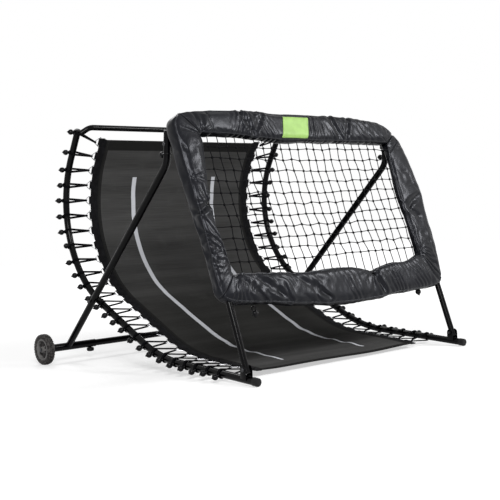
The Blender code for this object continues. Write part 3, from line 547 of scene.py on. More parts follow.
POWDER = PowderCoat("powder_coat", "black_steel", (0.0012, 0.0012, 0.0015), 0.15, 0.0, 0.09)
BOLT_STEEL = BareMetal("bolt_steel", "zinc_bolts", (0.060, 0.060, 0.064), 0.40, 1.0)
RING_WIRE = BareMetal("ring_wire", "zinc_bolts", (0.42, 0.42, 0.44), 0.34, 1.0)
BLACK_PLASTIC = MouldedPlastic(
    "black_plastic", "black_plastic", (0.0045, 0.0045, 0.0050), 0.46, 0.0, 0.18
)
BALL_PLASTIC = MouldedPlastic(
    "ball_plastic", "black_plastic", (0.0025, 0.0025, 0.0030), 0.26, 0.0, 0.12
)
HUB_PLASTIC = MouldedPlastic("hub_plastic", "grey_hub", (0.125, 0.120, 0.118), 0.50, 0.0, 0.30)
# A darker copy of the hub's grey plastic, on the same slot: painted shade for the disc and spokes
# recessed inside the hub.
SHADED_HUB_WEB = MouldedPlastic("hub_web", "grey_hub", (0.030, 0.028, 0.028), 0.60, 0.0, 0.15)
TYRE_RUBBER = MouldedPlastic(
    "tyre_rubber",
    "tyre_rubber",
    (0.025, 0.0235, 0.023),
    0.82,
    0.0,
    0.12,
    dusty=4.0,
    patches=110.0,
    dusted=(0.44, 0.58),
)
PAD_VINYL = Vinyl("pad_vinyl", "pad_vinyl", (0.0013, 0.0015, 0.0026), 0.31, 0.0, 0.19)
# A lighter copy of the pads' vinyl, on the same slot: painted highlight along the seams, where the
# glossy edges catch the light.
HIGHLIGHTED_PIPING = Vinyl("pad_piping", "pad_vinyl", (0.0070, 0.0074, 0.0090), 0.34, 0.0, 0.26)
MAT_CLOTH = MatCloth("mat_cloth", "mat_weave", (0.0440, 0.0436, 0.0430), 0.90, 0.0, 0.03)
WEBBING = WovenStrap("webbing", "webbing", (0.0050, 0.0050, 0.0056), 0.85, 0.0, 0.06)
SHOCK_CORD = WovenStrap(
    "shock_cord", "webbing", (0.0022, 0.0022, 0.0028), 0.75, 0.0, 0.04, rib=0.0030
)
NET_CORD = WovenStrap(
    "net_cord", "net_cord", (0.0028, 0.0028, 0.0034), 0.75, 0.0, 0.05, rib=0.0016
)
GREEN_PRINT = PrintedPatch("green_print", "green_patch", (0.305, 0.505, 0.128), 0.45, 0.0, 0.3)


# Shapes from operators


def grid_surface(
    columns: int,
    rows: int,
    place: Callable[[float, float], Vector],
    scale: Pair = (1.0, 1.0),
    start: Pair = (0.0, 0.0),
) -> Shape:
    """A grid whose points are moved into place, with a UV map in the units of scale.

    Args:
        columns: faces across.
        rows: faces along.
        place: the point for two shares from 0 to 1, across and along.
        scale: the UV map's width and length.
        start: the UV map's lowest corner.

    Returns:
        The grid.
    """
    shape = bmesh.new()
    layer = shape.loops.layers.uv.new("UVMap")
    bmesh.ops.create_grid(shape, x_segments=columns, y_segments=rows, size=0.5)
    shares = {vert: (vert.co.x + 0.5, vert.co.y + 0.5) for vert in shape.verts}
    for face in shape.faces:
        for loop in face.loops:
            u, v = shares[loop.vert]
            loop[layer].uv = (start[0] + u * scale[0], start[1] + v * scale[1])
    for vert, (u, v) in shares.items():
        vert.co = place(u, v)
    return shape


def turns_along(path: Sequence[Vector], closed: bool) -> list[Matrix]:
    """Rotations that carry Z along a path without twist.

    Args:
        path: the path's points.
        closed: whether the last point leads back to the first.

    Returns:
        One rotation for each point.
    """
    count = len(path)
    tangents = []
    for i in range(count):
        before = path[i - 1] if closed or i > 0 else path[0]
        after = path[(i + 1) % count] if closed or i < count - 1 else path[-1]
        tangents.append((after - before).normalized())
    turn = Z_AXIS.rotation_difference(tangents[0])
    turns = [turn.to_matrix()]
    for before, after in zip(tangents, tangents[1:]):
        turn = before.rotation_difference(after) @ turn
        turns.append(turn.to_matrix())
    if closed:
        last = tangents[-1].rotation_difference(tangents[0]) @ turn
        twist = (turns[0].inverted() @ last.to_matrix()).to_euler().z
        turns = [step @ Matrix.Rotation(-twist * i / count, 3, "Z") for i, step in enumerate(turns)]
    return turns


def outward(shape: Shape) -> None:
    """Turns a shape's faces outward."""
    bmesh.ops.recalc_face_normals(shape, faces=shape.faces)


def welded(shape: Shape) -> Shape:
    """Welds a shape's seams, fills its open ends and turns its faces outward.

    Args:
        shape: the shape.

    Returns:
        The same shape.
    """
    bmesh.ops.remove_doubles(shape, verts=shape.verts, dist=MERGE)
    ends = [edge for edge in shape.edges if edge.is_boundary]
    if ends:
        bmesh.ops.holes_fill(shape, edges=ends, sides=0)
    outward(shape)
    return shape


def arc(steps: int, start: float = 0.0, end: float = math.tau) -> list[Pair]:
    """The cosine and sine at even steps from one angle to another, without the last one."""
    angles = [start + (end - start) * i / steps for i in range(steps)]
    return [(math.cos(angle), math.sin(angle)) for angle in angles]


def swollen(value: float, power: float) -> float:
    """A sine or cosine to this power, with its sign; a low power squares a round section."""
    return math.copysign(abs(value) ** power, value)


def tube_shape(
    path: Iterable[Sequence[float]], radius: float, sides: int = 24, closed: bool = False
) -> Shape:
    """A round bar or cord along a path.

    Args:
        path: the points of its centre line.
        radius: its radius.
        sides: faces round it.
        closed: whether it is a loop.

    Returns:
        The bar, with its ends closed.
    """
    points = [Vector(point) for point in path]
    turns = turns_along(points, closed)
    if closed:
        points.append(points[0])
        turns.append(turns[0])
    rows = len(points) - 1
    length = sum((b - a).length for a, b in zip(points, points[1:]))

    def place(u: float, v: float) -> Vector:
        """A point of the bar.

        Args:
            u: the share round it.
            v: the share along it.

        Returns:
            The point.
        """
        i = round(v * rows)
        angle = math.tau * u
        reach = Vector((math.cos(angle) * radius, math.sin(angle) * radius, 0.0))
        return points[i] + turns[i] @ reach

    return welded(grid_surface(sides, rows, place, (math.tau * radius, length)))


def turned_shape(profile: Sequence[Pair], steps: int = 32, closed: bool = False) -> Shape:
    """A turned piece about Z.

    Args:
        profile: (radius, height) pairs.
        steps: faces round it.
        closed: whether the profile is a loop clear of the axis.

    Returns:
        The turned piece.
    """
    shape = bmesh.new()
    verts = [shape.verts.new((radius, 0.0, height)) for radius, height in profile]
    edges = [shape.edges.new(pair) for pair in zip(verts, verts[1:])]
    if closed:
        edges.append(shape.edges.new((verts[-1], verts[0])))
    bmesh.ops.spin(
        shape,
        geom=verts + edges,
        cent=(0, 0, 0),
        axis=Z_AXIS,
        angle=math.tau,
        steps=steps,
        use_merge=True,
        use_duplicate=False,
    )
    return welded(shape)


def mirrored(half: Sequence[Pair]) -> list[Pair]:
    """A turned profile from its upper half: the half and its mirror image."""
    return [*half, *((radius, -height) for radius, height in reversed(half))]


def cap_shape(radius: float, head: Sequence[Pair]) -> Shape:
    """An end cap about Z: its head, and the plug inside a tube of this radius."""
    plug = radius - 0.002
    return turned_shape([*head, (radius, 0.0002), (plug, 0.0002), (plug, -0.006), (0.0, -0.006)])


def block_shape(low: Sequence[float], high: Sequence[float], edge: float) -> Shape:
    """A block with rounded edges.

    Args:
        low: its lowest corner.
        high: the corner across from it.
        edge: how far the edges are rounded.

    Returns:
        The block.
    """
    low, high = Vector(low), Vector(high)
    shape = bmesh.new()
    bmesh.ops.create_cube(shape, size=1.0)
    bmesh.ops.scale(shape, verts=shape.verts, vec=high - low)
    bmesh.ops.translate(shape, verts=shape.verts, vec=(low + high) / 2)
    round_edges(shape, shape.edges[:], edge)
    return shape


def round_edges(shape: Shape, edges: list[bmesh.types.BMEdge], width: float) -> None:
    """Rounds edges of a shape.

    Args:
        shape: the shape.
        edges: the edges.
        width: how far they are rounded.
    """
    bmesh.ops.bevel(
        shape,
        geom=edges,
        offset=width,
        offset_type="OFFSET",
        affect="EDGES",
        segments=2,
        profile=0.5,
        material=-1,
        clamp_overlap=True,
    )


def plate_shape(outline: Points, thickness: Sequence[float], edge: float) -> Shape:
    """A plate from its outline.

    Args:
        outline: the corners of one face.
        thickness: the vector to the other face.
        edge: how far the edges are rounded.

    Returns:
        The plate.
    """
    shape = bmesh.new()
    face = shape.faces.new([shape.verts.new(corner) for corner in outline])
    made = bmesh.ops.extrude_face_region(shape, geom=[face])
    far = [item for item in made["geom"] if isinstance(item, bmesh.types.BMVert)]
    bmesh.ops.translate(shape, verts=far, vec=thickness)
    outward(shape)
    rims = [item for item in shape.edges if item.calc_face_angle(0.0) > 0.5]
    round_edges(shape, rims, edge)
    return shape


def mesh_of(name: str, shape: Shape) -> bpy.types.Mesh:
    """A mesh from a shape.

    Args:
        name: the mesh's name.
        shape: the shape, which is freed.

    Returns:
        The mesh.
    """
    mesh = bpy.data.meshes.new(name)
    shape.to_mesh(mesh)
    shape.free()
    return mesh


def linked(name: str, data: bpy.types.ID) -> bpy.types.Object:
    """A new object in the scene.

    Args:
        name: the object's name.
        data: its mesh, lamp or camera.

    Returns:
        The object.
    """
    made = bpy.data.objects.new(name, data)
    bpy.context.scene.collection.objects.link(made)
    return made


def joined(shapes: Iterable[Shape]) -> Shape:
    """Makes several shapes one.

    Args:
        shapes: the shapes, which are freed.

    Returns:
        The whole.
    """
    whole = bmesh.new()
    for shape in shapes:
        mesh = mesh_of("joining", shape)
        whole.from_mesh(mesh)
        bpy.data.meshes.remove(mesh)
    return whole


def moved(shape: Shape, matrix: Matrix) -> Shape:
    """Moves a shape, and keeps its faces outward.

    Args:
        shape: the shape.
        matrix: the move, which may mirror it.

    Returns:
        The same shape.
    """
    bmesh.ops.transform(shape, matrix=matrix, verts=shape.verts)
    if matrix.determinant() < 0:
        bmesh.ops.reverse_faces(shape, faces=shape.faces)
    return shape


def onto(place: Sequence[float], direction: Sequence[float]) -> Matrix:
    """The matrix that stands a piece made about Z on a place, along a direction."""
    turn = Z_AXIS.rotation_difference(Vector(direction).normalized())
    return Matrix.Translation(Vector(place)) @ turn.to_matrix().to_4x4()


def flowing(points: Points, steps: int, closed: bool = False) -> list[Vector]:
    """A smooth curve through points.

    Args:
        points: the points that it passes.
        steps: how many pieces each stretch gets.
        closed: whether it is a loop.

    Returns:
        The points of the curve.
    """
    given = [Vector(point) for point in points]
    count = len(given)
    curve = []
    for i in range(count if closed else count - 1):
        places = [i - 1, i, i + 1, i + 2]
        if not closed:
            places = [min(max(place, 0), count - 1) for place in places]
        a, b, c, d = (given[place % count] for place in places)
        for step in range(steps):
            t = step / steps
            square = (2 * a - 5 * b + 4 * c - d) * t * t
            curve.append(0.5 * (2 * b + (c - a) * t + square + (3 * b - a - 3 * c + d) * t**3))
    if not closed:
        curve.append(given[-1])
    return curve


def bent_path(corners: Points, radius: float, steps: int) -> list[Vector]:
    """Straight runs between corners, with each inner corner rounded by an arc.

    Args:
        corners: the corners.
        radius: the radius of the arcs.
        steps: pieces in each arc.

    Returns:
        The points of the path.
    """
    given = [Vector(corner) for corner in corners]
    path = [given[0]]
    for before, corner, after in zip(given, given[1:], given[2:]):
        into = (before - corner).normalized()
        out = (after - corner).normalized()
        half = into.angle(out) / 2
        centre = corner + (into + out).normalized() * radius / math.sin(half)
        start = corner + into * radius / math.tan(half) - centre
        axis = into.cross(out).normalized()
        for i in range(steps + 1):
            turn = Matrix.Rotation(-(math.pi - 2 * half) * i / steps, 3, axis)
            path.append(centre + turn @ start)
    path.append(given[-1])
    return path


def settle(
    name: str,
    shape: Shape,
    finish: Finish,
    node: str = "",
    body: str = STAND,
    matrix: Matrix | None = None,
    sharp: float = 38.0,
    slot: str = "",
) -> bpy.types.Object:
    """Makes a shape a piece of the rebounder.

    Args:
        name: the piece's name.
        shape: its shape, which is freed.
        finish: its finish.
        node: the CAD node that it stands for, if any.
        body: the CAD body that it rides on.
        matrix: where the shape goes.
        sharp: the angle in degrees past which an edge stays sharp.
        slot: its material slot, if it isn't the finish's own; not used.

    Returns:
        The piece.
    """
    if matrix is not None:
        moved(shape, matrix)
    mesh = mesh_of(name, shape)
    mesh.materials.append(finish.material())
    mesh.shade_smooth()
    mesh.set_sharp_from_angle(angle=math.radians(sharp))
    piece = linked(name, mesh)
    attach(piece, body)
    slot or finish.slot
    if node:
        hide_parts(node)
    log.info("%s: %d faces on %s", name, len(mesh.polygons), body)
    return piece


def thicken(piece: bpy.types.Object, name: str, thickness: float) -> None:
    """Gives a sheet its thickness, half on each side.

    Args:
        piece: the sheet.
        name: the modifier's name.
        thickness: the thickness.
    """
    wall = piece.modifiers.new(name, "SOLIDIFY")
    wall.thickness = thickness
    wall.offset = 0.0


def settle_side(
    side: Side, name: str, shape: Shape, finish: Finish, node: str = "", **options: object
) -> bpy.types.Object:
    """Makes a shape a piece of one side, whose word starts its name and its CAD node's.

    Args:
        side: the side.
        name: the rest of the piece's name.
        shape: its shape, which is freed.
        finish: its finish.
        node: the rest of the name of the CAD node that it stands for, if any.
        options: what else settle takes.

    Returns:
        The piece.
    """
    node = f"{side.word}_{node}" if node else ""
    return settle(f"{side.word}_{name}", shape, finish, node, **options)


# Lines that the pieces follow


@dataclass(frozen=True)
class RailLine:
    """The centre line of a side rail in the YZ plane, from its front tip."""

    x: float = 0.66
    radius: float = 0.016
    tip_y: float = -0.7245
    tip_z: float = 0.0185
    tip_slope: float = math.radians(4.0)
    runs: tuple[Pair, ...] = (
        (0.51, 0.0),
        (0.73 * math.radians(23.0), math.radians(23.0)),
        (0.364, 0.0),
        (0.50 * math.radians(94.0), math.radians(94.0)),
        (0.151, 0.0),
    )

    @property
    def length(self) -> float:
        """The whole length of the line."""
        return sum(length for length, _ in self.runs)

    def at(self, distance: float) -> Triple:
        """The place and slope at a distance along the line.

        Args:
            distance: the distance from the tip.

        Returns:
            Its y, its z and the slope there.
        """
        y, z, slope = self.tip_y, self.tip_z, self.tip_slope
        for i, (length, turn) in enumerate(self.runs):
            last = i == len(self.runs) - 1
            step = distance if last else min(distance, length)
            if turn:
                radius = length / turn
                swept = step / radius
                y += radius * (math.sin(slope + swept) - math.sin(slope))
                z -= radius * (math.cos(slope + swept) - math.cos(slope))
                slope += swept
            else:
                y += step * math.cos(slope)
                z += step * math.sin(slope)
            distance -= step
            if distance <= 0.0:
                break
        return y, z, slope

    def beside(
        self, side: Side, mark: float, x: float, along: float = 0.0, inward: float = 0.0
    ) -> Vector:
        """A point by the rail.

        Args:
            side: which rail.
            mark: the distance along it.
            x: how far from the middle of the rebounder.
            along: a shift along the rail.
            inward: a shift to the inside of its curve.

        Returns:
            The point.
        """
        y, z, slope = self.at(mark)
        y += along * math.cos(slope) - inward * math.sin(slope)
        z += along * math.sin(slope) + inward * math.cos(slope)
        return side.at(x, y, z)

    def path(self, side: Side, start: float, end: float, spacing: float = 0.02) -> list[Vector]:
        """Points of the line between two distances.

        Args:
            side: which rail.
            start: the first distance.
            end: the last distance.
            spacing: about how far apart they are.

        Returns:
            The points.
        """
        count = max(2, round((end - start) / spacing))
        marks = [start + (end - start) * i / count for i in range(count + 1)]
        return [self.beside(side, mark, self.x) for mark in marks]


@dataclass(frozen=True)
class PanelPlane:
    """The net frame's plane: X across, Z up the frame, Y behind it, from its hinge line."""

    pivot_y: float = -0.656
    pivot_z: float = 0.064
    lean: float = math.radians(18.3)

    @property
    def matrix(self) -> Matrix:
        """The matrix from the plane to the rebounder's frame."""
        shift = Matrix.Translation((0.0, self.pivot_y, self.pivot_z))
        return shift @ Matrix.Rotation(-self.lean, 4, "X")


RAIL = RailLine()
PLANE = PanelPlane()


@dataclass(frozen=True)
class Bolt:
    """A bolt with a domed head on a washer, and the end of its shank."""

    shank: float = 0.004
    head: float = 0.0085
    height: float = 0.0050
    washer: float = 0.0012

    def shape(self, place: Sequence[float], direction: Sequence[float], length: float) -> Shape:
        """The bolt.

        Args:
            place: the middle of the shank.
            direction: the way that the head faces.
            length: the shank's length.

        Returns:
            Its shape in place.
        """
        half = length / 2
        dome = [(0.0, half + self.height)]
        for i in range(1, 7):
            angle = math.pi / 2 * i / 6
            rise = self.washer + (self.height - self.washer) * math.cos(angle)
            dome.append((self.head * math.sin(angle), half + rise))
        dome += [
            (self.head * 1.12, half + self.washer),
            (self.head * 1.12, half + 0.0001),
            (self.shank, half + 0.0001),
            (self.shank, -half + 0.0006),
            (self.shank - 0.0006, -half),
            (0.0, -half),
        ]
        return moved(turned_shape(dome, 24), onto(place, direction))


@dataclass
class SideRail:
    """One bent side rail, in two lengths, with its foot and end cap."""

    side: Side
    splice_at: float = 0.90
    joint: float = 0.0003
    foot_length: float = 0.026
    foot_radius: float = 0.0175
    foot_end: float = 0.0035
    cap_head: float = 0.004
    floor_clear: float = 0.0002

    def build(self) -> None:
        """Makes the rail."""
        self._tubes()
        self._foot()
        self._cap()

    def _tubes(self) -> None:
        """The two lengths."""
        front = RAIL.path(self.side, 0.0, self.splice_at - self.joint)
        back = RAIL.path(self.side, self.splice_at + self.joint, RAIL.length)
        for part, path in (("front", front), ("back", back)):
            shape = tube_shape(path, RAIL.radius)
            settle_side(self.side, f"rail_{part}_tube", shape, POWDER, f"rail_{part}")

    def _foot(self) -> None:
        """The plastic foot on the rail's tip, cut flat where it stands."""
        profile = [
            (0.0, self.foot_end),
            (self.foot_radius * 0.70, self.foot_end),
            (self.foot_radius * 0.93, self.foot_end * 0.60),
            (self.foot_radius, -0.002),
            (self.foot_radius, -self.foot_length + 0.0015),
            (self.foot_radius - 0.0012, -self.foot_length),
            (RAIL.radius + 0.0004, -self.foot_length),
            (RAIL.radius + 0.0004, 0.0002),
            (0.0, 0.0002),
        ]
        forward = (0.0, -math.cos(RAIL.tip_slope), -math.sin(RAIL.tip_slope))
        place = onto(self.side.at(RAIL.x, RAIL.tip_y, RAIL.tip_z), forward)
        shape = moved(turned_shape(profile), place)
        cut = bmesh.ops.bisect_plane(
            shape,
            geom=shape.verts[:] + shape.edges[:] + shape.faces[:],
            dist=MERGE,
            plane_co=(0, 0, self.floor_clear),
            plane_no=(0, 0, -1),
            clear_outer=True,
        )
        edges = [item for item in cut["geom_cut"] if isinstance(item, bmesh.types.BMEdge)]
        bmesh.ops.holes_fill(shape, edges=edges, sides=0)
        settle_side(self.side, "tip_foot", shape, BLACK_PLASTIC, "front_foot")

    def _cap(self) -> None:
        """The plastic cap in the rail's top end."""
        y, z, slope = RAIL.at(RAIL.length)
        head = [(0.0, 1.0), (0.7, 1.0), (1.0, 0.35)]
        head = [(RAIL.radius * reach, self.cap_head * rise) for reach, rise in head]
        place = onto(self.side.at(RAIL.x, y, z), (0.0, math.cos(slope), math.sin(slope)))
        shape = moved(cap_shape(RAIL.radius, head), place)
        settle_side(self.side, "rail_end_cap", shape, BLACK_PLASTIC, "rail_cap")


@dataclass
class TopBar:
    """The grip bar between the rail tops, with its bent ends and bolts."""

    radius: float = 0.014
    y: float = 0.503
    z: float = 1.1430
    half: float = 0.60
    at: float = 2.120
    bend: float = 0.045

    def build(self) -> None:
        """Makes the bar and its bolts."""
        y, z, _ = RAIL.at(self.at)
        reach = RAIL.x - RAIL.radius - 0.0006
        inner = [(x, self.y, self.z) for x in (-self.half, self.half)]
        path = bent_path([(-reach, y, z), *inner, (reach, y, z)], self.bend, 8)
        settle("top_grip_bar", tube_shape(path, self.radius), POWDER, "top_bar")
        shank = RAIL.radius + 0.024
        for side in Side:
            place = side.at(RAIL.x + RAIL.radius + 0.0008 - shank / 2, y, z)
            bolt = Bolt(height=0.0058).shape(place, side.out, shank)
            settle_side(side, "grip_bolt", bolt, BOLT_STEEL, "top_bar_bolt")


AXLE = (0.654, 0.075)  # the y and z of the rear axle
TIE_CORD = 0.0028  # the radius of a ball tie's cord


@dataclass
class Crossbar:
    """The rear crossbar between the wheels."""

    half: float = 0.70

    def build(self) -> None:
        """Makes the crossbar."""
        path = [(-self.half + 2 * self.half * i / 8, *AXLE) for i in range(9)]
        settle("crossbar_tube", tube_shape(path, RAIL.radius), POWDER, "rear_crossbar")


@dataclass
class Wheel:
    """One wheel on its axle bolt."""

    side: Side
    x: float = 0.828
    axle_from: float = 0.765
    tyre_radius: float = 0.075
    tyre_half: float = 0.018
    tread: float = 0.0032
    hub_radius: float = 0.0520
    spokes: int = 6
    spoke: Pair = (0.0135, 0.0422)
    lugs: int = 32
    lug_row: float = 0.24
    lugs_from: float = 0.0675

    def build(self) -> None:
        """Makes the wheel, its outer side up the axle, and the bolt."""
        place = onto(self.side.at(self.x, *AXLE), self.side.out)
        on_wheel = {"body": f"{self.side.word}_wheel", "matrix": place}
        settle_side(self.side, "tyre_tread", self._tyre(), TYRE_RUBBER, "tyre", **on_wheel)
        # The disc and spokes take the darker plastic: painted shade in the hub's recess.
        settle_side(self.side, "hub_web", self._web(), SHADED_HUB_WEB, **on_wheel)
        settle_side(self.side, "wheel_hub", self._hub(), HUB_PLASTIC, "hub", **on_wheel)
        self._axle()

    def _profile(self, *half: Pair) -> list[Pair]:
        """A turned profile from its outer half, whose heights are shares of the tyre's."""
        return mirrored([(radius, self.tyre_half * share) for radius, share in half])

    def _tyre(self) -> Shape:
        """The tyre: a rounded carcass with rows of tread blocks.

        Returns:
            The tyre.
        """
        outer, inner = self.tyre_radius - 0.0034, self.hub_radius + 0.0006
        profile = self._profile(
            (inner, 0.74),
            (inner + 0.003, 0.90),
            (0.0600, 0.98),
            (0.0665, 0.96),
            (0.0698, 0.84),
            (outer - 0.0008, 0.62),
            (outer, 0.36),
            (outer + 0.0002, 0.10),
        )
        shape = turned_shape(profile, self.lugs * 2, closed=True)
        blocks = []
        for face in shape.faces:
            centre = face.calc_center_median()
            row = round(centre.z / self.tyre_half / self.lug_row)
            turn = math.atan2(centre.y, centre.x) / math.tau * self.lugs
            odd = int(math.floor(turn * 2 + 0.01)) % 2
            if math.hypot(centre.x, centre.y) > self.lugs_from and odd == abs(row) % 2:
                blocks.append(face)
        bmesh.ops.inset_individual(
            shape, faces=blocks, thickness=0.0006, depth=self.tread, use_even_offset=True
        )
        return shape

    def _hub(self) -> Shape:
        """The hub's dished rim and its centre boss, alike on both sides.

        Returns:
            The hub.
        """
        edge = self.hub_radius
        rim = [(edge, 0.74), (edge - 0.0012, 0.82), (0.0452, 0.80), (0.0420, 0.40), (0.0412, 0.10)]
        boss = [(0.0066, 0.93), (0.0125, 0.93), (0.0138, 0.86), (0.0150, 0.30), (0.0185, 0.20)]
        shapes = [turned_shape(self._profile(*rim), 64, True)]
        return joined([*shapes, turned_shape(self._profile(*boss), 40, True)])

    def _web(self) -> Shape:
        """The hub's disc and spokes, the spokes widest at the boss; their darker plastic is painted
        shade for the hub's recess.

        Returns:
            The disc and spokes.
        """
        disc = turned_shape(mirrored([(0.0150, 0.0010), (0.0416, 0.0010)]), 64, True)
        start, end = self.spoke
        deep = self.tyre_half * 0.34
        shapes = [disc]
        for i in range(self.spokes):
            spoke = block_shape((start, -0.0032, -deep), (end, 0.0032, deep), 0.0012)
            for vert in spoke.verts:
                vert.co.y *= 1.5 - (vert.co.x - start) / (end - start) * 0.5
            shapes.append(moved(spoke, Matrix.Rotation(math.tau * i / self.spokes, 4, "Z")))
        return joined(shapes)

    def _axle(self) -> None:
        """The axle bolt, whose domed head caps the wheel."""
        start, end = self.axle_from, self.x + self.tyre_half + 0.002
        bolt = Bolt(shank=0.006, head=0.0092, height=0.0040)
        shape = bolt.shape(self.side.at((start + end) / 2, *AXLE), self.side.out, end - start)
        settle_side(self.side, "wheel_axle", shape, BOLT_STEEL, "axle")


@dataclass
class Strut:
    """One strut with its foot sleeve, weld bead, cap, bolts, locking knob and ball tie."""

    side: Side
    x: float = 0.695
    radius: float = 0.016
    bend: Pair = (-0.245, 0.907)
    top: Pair = (-0.262, 1.045)
    bend_radius: float = 0.08
    sleeve_radius: float = 0.0188
    sleeve_marks: tuple[float, ...] = (0.545, 0.66, 0.72, 0.800)
    knob_x: float = 0.571
    crossing: Pair = (0.405, 0.3055)
    crossing_shank: float = 0.078
    pin_drop: float = 0.055
    pin_shank: float = 0.056
    tie_drop: float = 0.097
    weld: float = 0.0024

    @property
    def pin(self) -> Pair:
        """The place of the pin near the top, on which the net frame rests."""
        return self._down_from_top(self.pin_drop)

    def build(self) -> None:
        """Makes the strut and what is on it."""
        self._tube()
        self._cap()
        self._bolts()
        self._knob()
        self._ball_tie()

    def _down_from_top(self, drop: float) -> Pair:
        """The place on the centre line this far below the top."""
        top = Vector(self.top)
        return tuple(top + (Vector(self.bend) - top).normalized() * drop)

    def _tube(self) -> None:
        """The strut tube, its sleeve with turned lips, and the weld bead between them."""
        corners = [self.side.at(self.x, *place) for place in (AXLE, self.bend, self.top)]
        path = bent_path(corners, self.bend_radius, 10)
        lean = (path[1] - path[0]).normalized()
        path[0] = path[0] + lean * (self.sleeve_radius - 0.004)
        shapes = [tube_shape(path, self.radius)]
        ends = [self.side.at(x, *AXLE) for x in self.sleeve_marks]
        shapes.append(tube_shape(ends, self.sleeve_radius))
        shapes.append(self._bead(path[0], lean))
        for end in (ends[0], ends[-1]):
            reach = self.sleeve_radius - 0.0004
            lip = [end + Vector((0, across, up)) * reach for across, up in arc(32)]
            shapes.append(tube_shape(lip, 0.0008, 6, closed=True))
        settle_side(self.side, "strut_tube", joined(shapes), POWDER, "strut")

    def _bead(self, start: Vector, lean: Vector) -> Shape:
        """The weld bead where the strut meets its sleeve.

        Args:
            start: the strut's end, inside the sleeve.
            lean: the strut's direction.

        Returns:
            The bead.
        """
        normal = Vector((0.0, -lean.z, lean.y))
        bead = []
        for i, (across, beside) in enumerate(arc(40)):
            across, beside = across * self.radius, beside * self.radius
            lift = math.sqrt(max(self.sleeve_radius**2 - beside**2, 0.0))
            lift += 0.0004 * math.sin(i * 2.4) + 0.004 - self.sleeve_radius
            bead.append(start + lean * lift + normal * beside + X_AXIS * across)
        return tube_shape(bead, self.weld, 8, closed=True)

    def _cap(self) -> None:
        """The cap in the strut's top."""
        head = [(0.0, 0.0045), (self.radius * 0.72, 0.0040), (self.radius, 0.0012)]
        lean = (Vector(self.top) - Vector(self.bend)).normalized()
        place = onto(self.side.at(self.x, *self.top), (0, *lean))
        shape = moved(cap_shape(self.radius, head), place)
        settle_side(self.side, "strut_end_cap", shape, BLACK_PLASTIC, "strut_cap")

    def _bolts(self) -> None:
        """The bolt where the strut crosses the rail, and the pin near its top."""
        side = self.side
        place = side.at((RAIL.x + self.x) / 2 + 0.0015, *self.crossing)
        bolt = Bolt(head=0.0090, height=0.0060).shape(place, side.out, self.crossing_shank)
        settle_side(side, "crossing_bolt", bolt, BOLT_STEEL, "strut_bolt")
        pin = Bolt().shape(side.at(self.x - 0.0115, *self.pin), side.out, self.pin_shank)
        settle_side(side, "top_pin", pin, BOLT_STEEL, "strut_pin")

    def _knob(self) -> None:
        """The knob under the sleeve that locks the crossbar."""
        profile = [
            (0.0, 0.019),
            (0.004, 0.019),
            (0.004, -0.0150),
            (0.0120, -0.0160),
            (0.0164, -0.0185),
            (0.0172, -0.0230),
            (0.0172, -0.0300),
            (0.0158, -0.0340),
            (0.0090, -0.0358),
            (0.0, -0.0362),
        ]
        steps = 36
        shape = turned_shape(profile, steps)
        grips = []
        for face in shape.faces:
            centre = face.calc_center_median()
            turn = math.atan2(centre.y, centre.x) / math.tau + 1.0
            if -0.0310 < centre.z < -0.0184 and int(turn * steps) % 3:
                grips.append(face)
        bmesh.ops.inset_individual(shape, faces=grips, thickness=0.0003, depth=0.0010)
        y, z = AXLE
        place = Matrix.Translation(self.side.at(self.knob_x, y, z - 0.004))
        settle_side(self.side, "lock_knob", shape, BLACK_PLASTIC, "sleeve_knob", matrix=place)

    def _ball_tie(self) -> None:
        """The ball tie round the strut's top."""
        x, (y, z) = self.side.value * self.x, self._down_from_top(self.tie_drop)
        reach = self.radius + 0.0034
        loop = []
        for across, deep in arc(28):
            tail = max(0.0, deep) ** 6 * 0.010
            loop.append((x + reach * across, y + reach * deep + tail, z))
        cord = tube_shape(loop, TIE_CORD, 10, closed=True)
        ball = moved(ball_shape(0.0135), onto((x, y + reach + 0.014, z), (0, 1, 0)))
        shape = joined([cord, ball])
        finish, node = BALL_PLASTIC, "strut_tie"
        settle_side(self.side, "strut_ball_tie", shape, finish, node, slot="webbing")


def ball_shape(radius: float, steps: int = 16) -> Shape:
    """A bungee's ball about Z, with the collar and knot on its outer side.

    Args:
        radius: the ball's radius.
        steps: faces round it.

    Returns:
        The ball.
    """
    neck = math.radians(26.0)
    collar = [(0.0, 1.42), (0.16, 1.36), (0.24, 1.12), (0.36, 1.02), (0.44, 0.92)]
    profile = [(radius * reach, radius * rise) for reach, rise in collar]
    for up, out in arc(8, neck, math.pi)[1:]:
        profile.append((radius * out, radius * up))
    profile.append((0.0, -radius))
    return turned_shape(profile, steps)


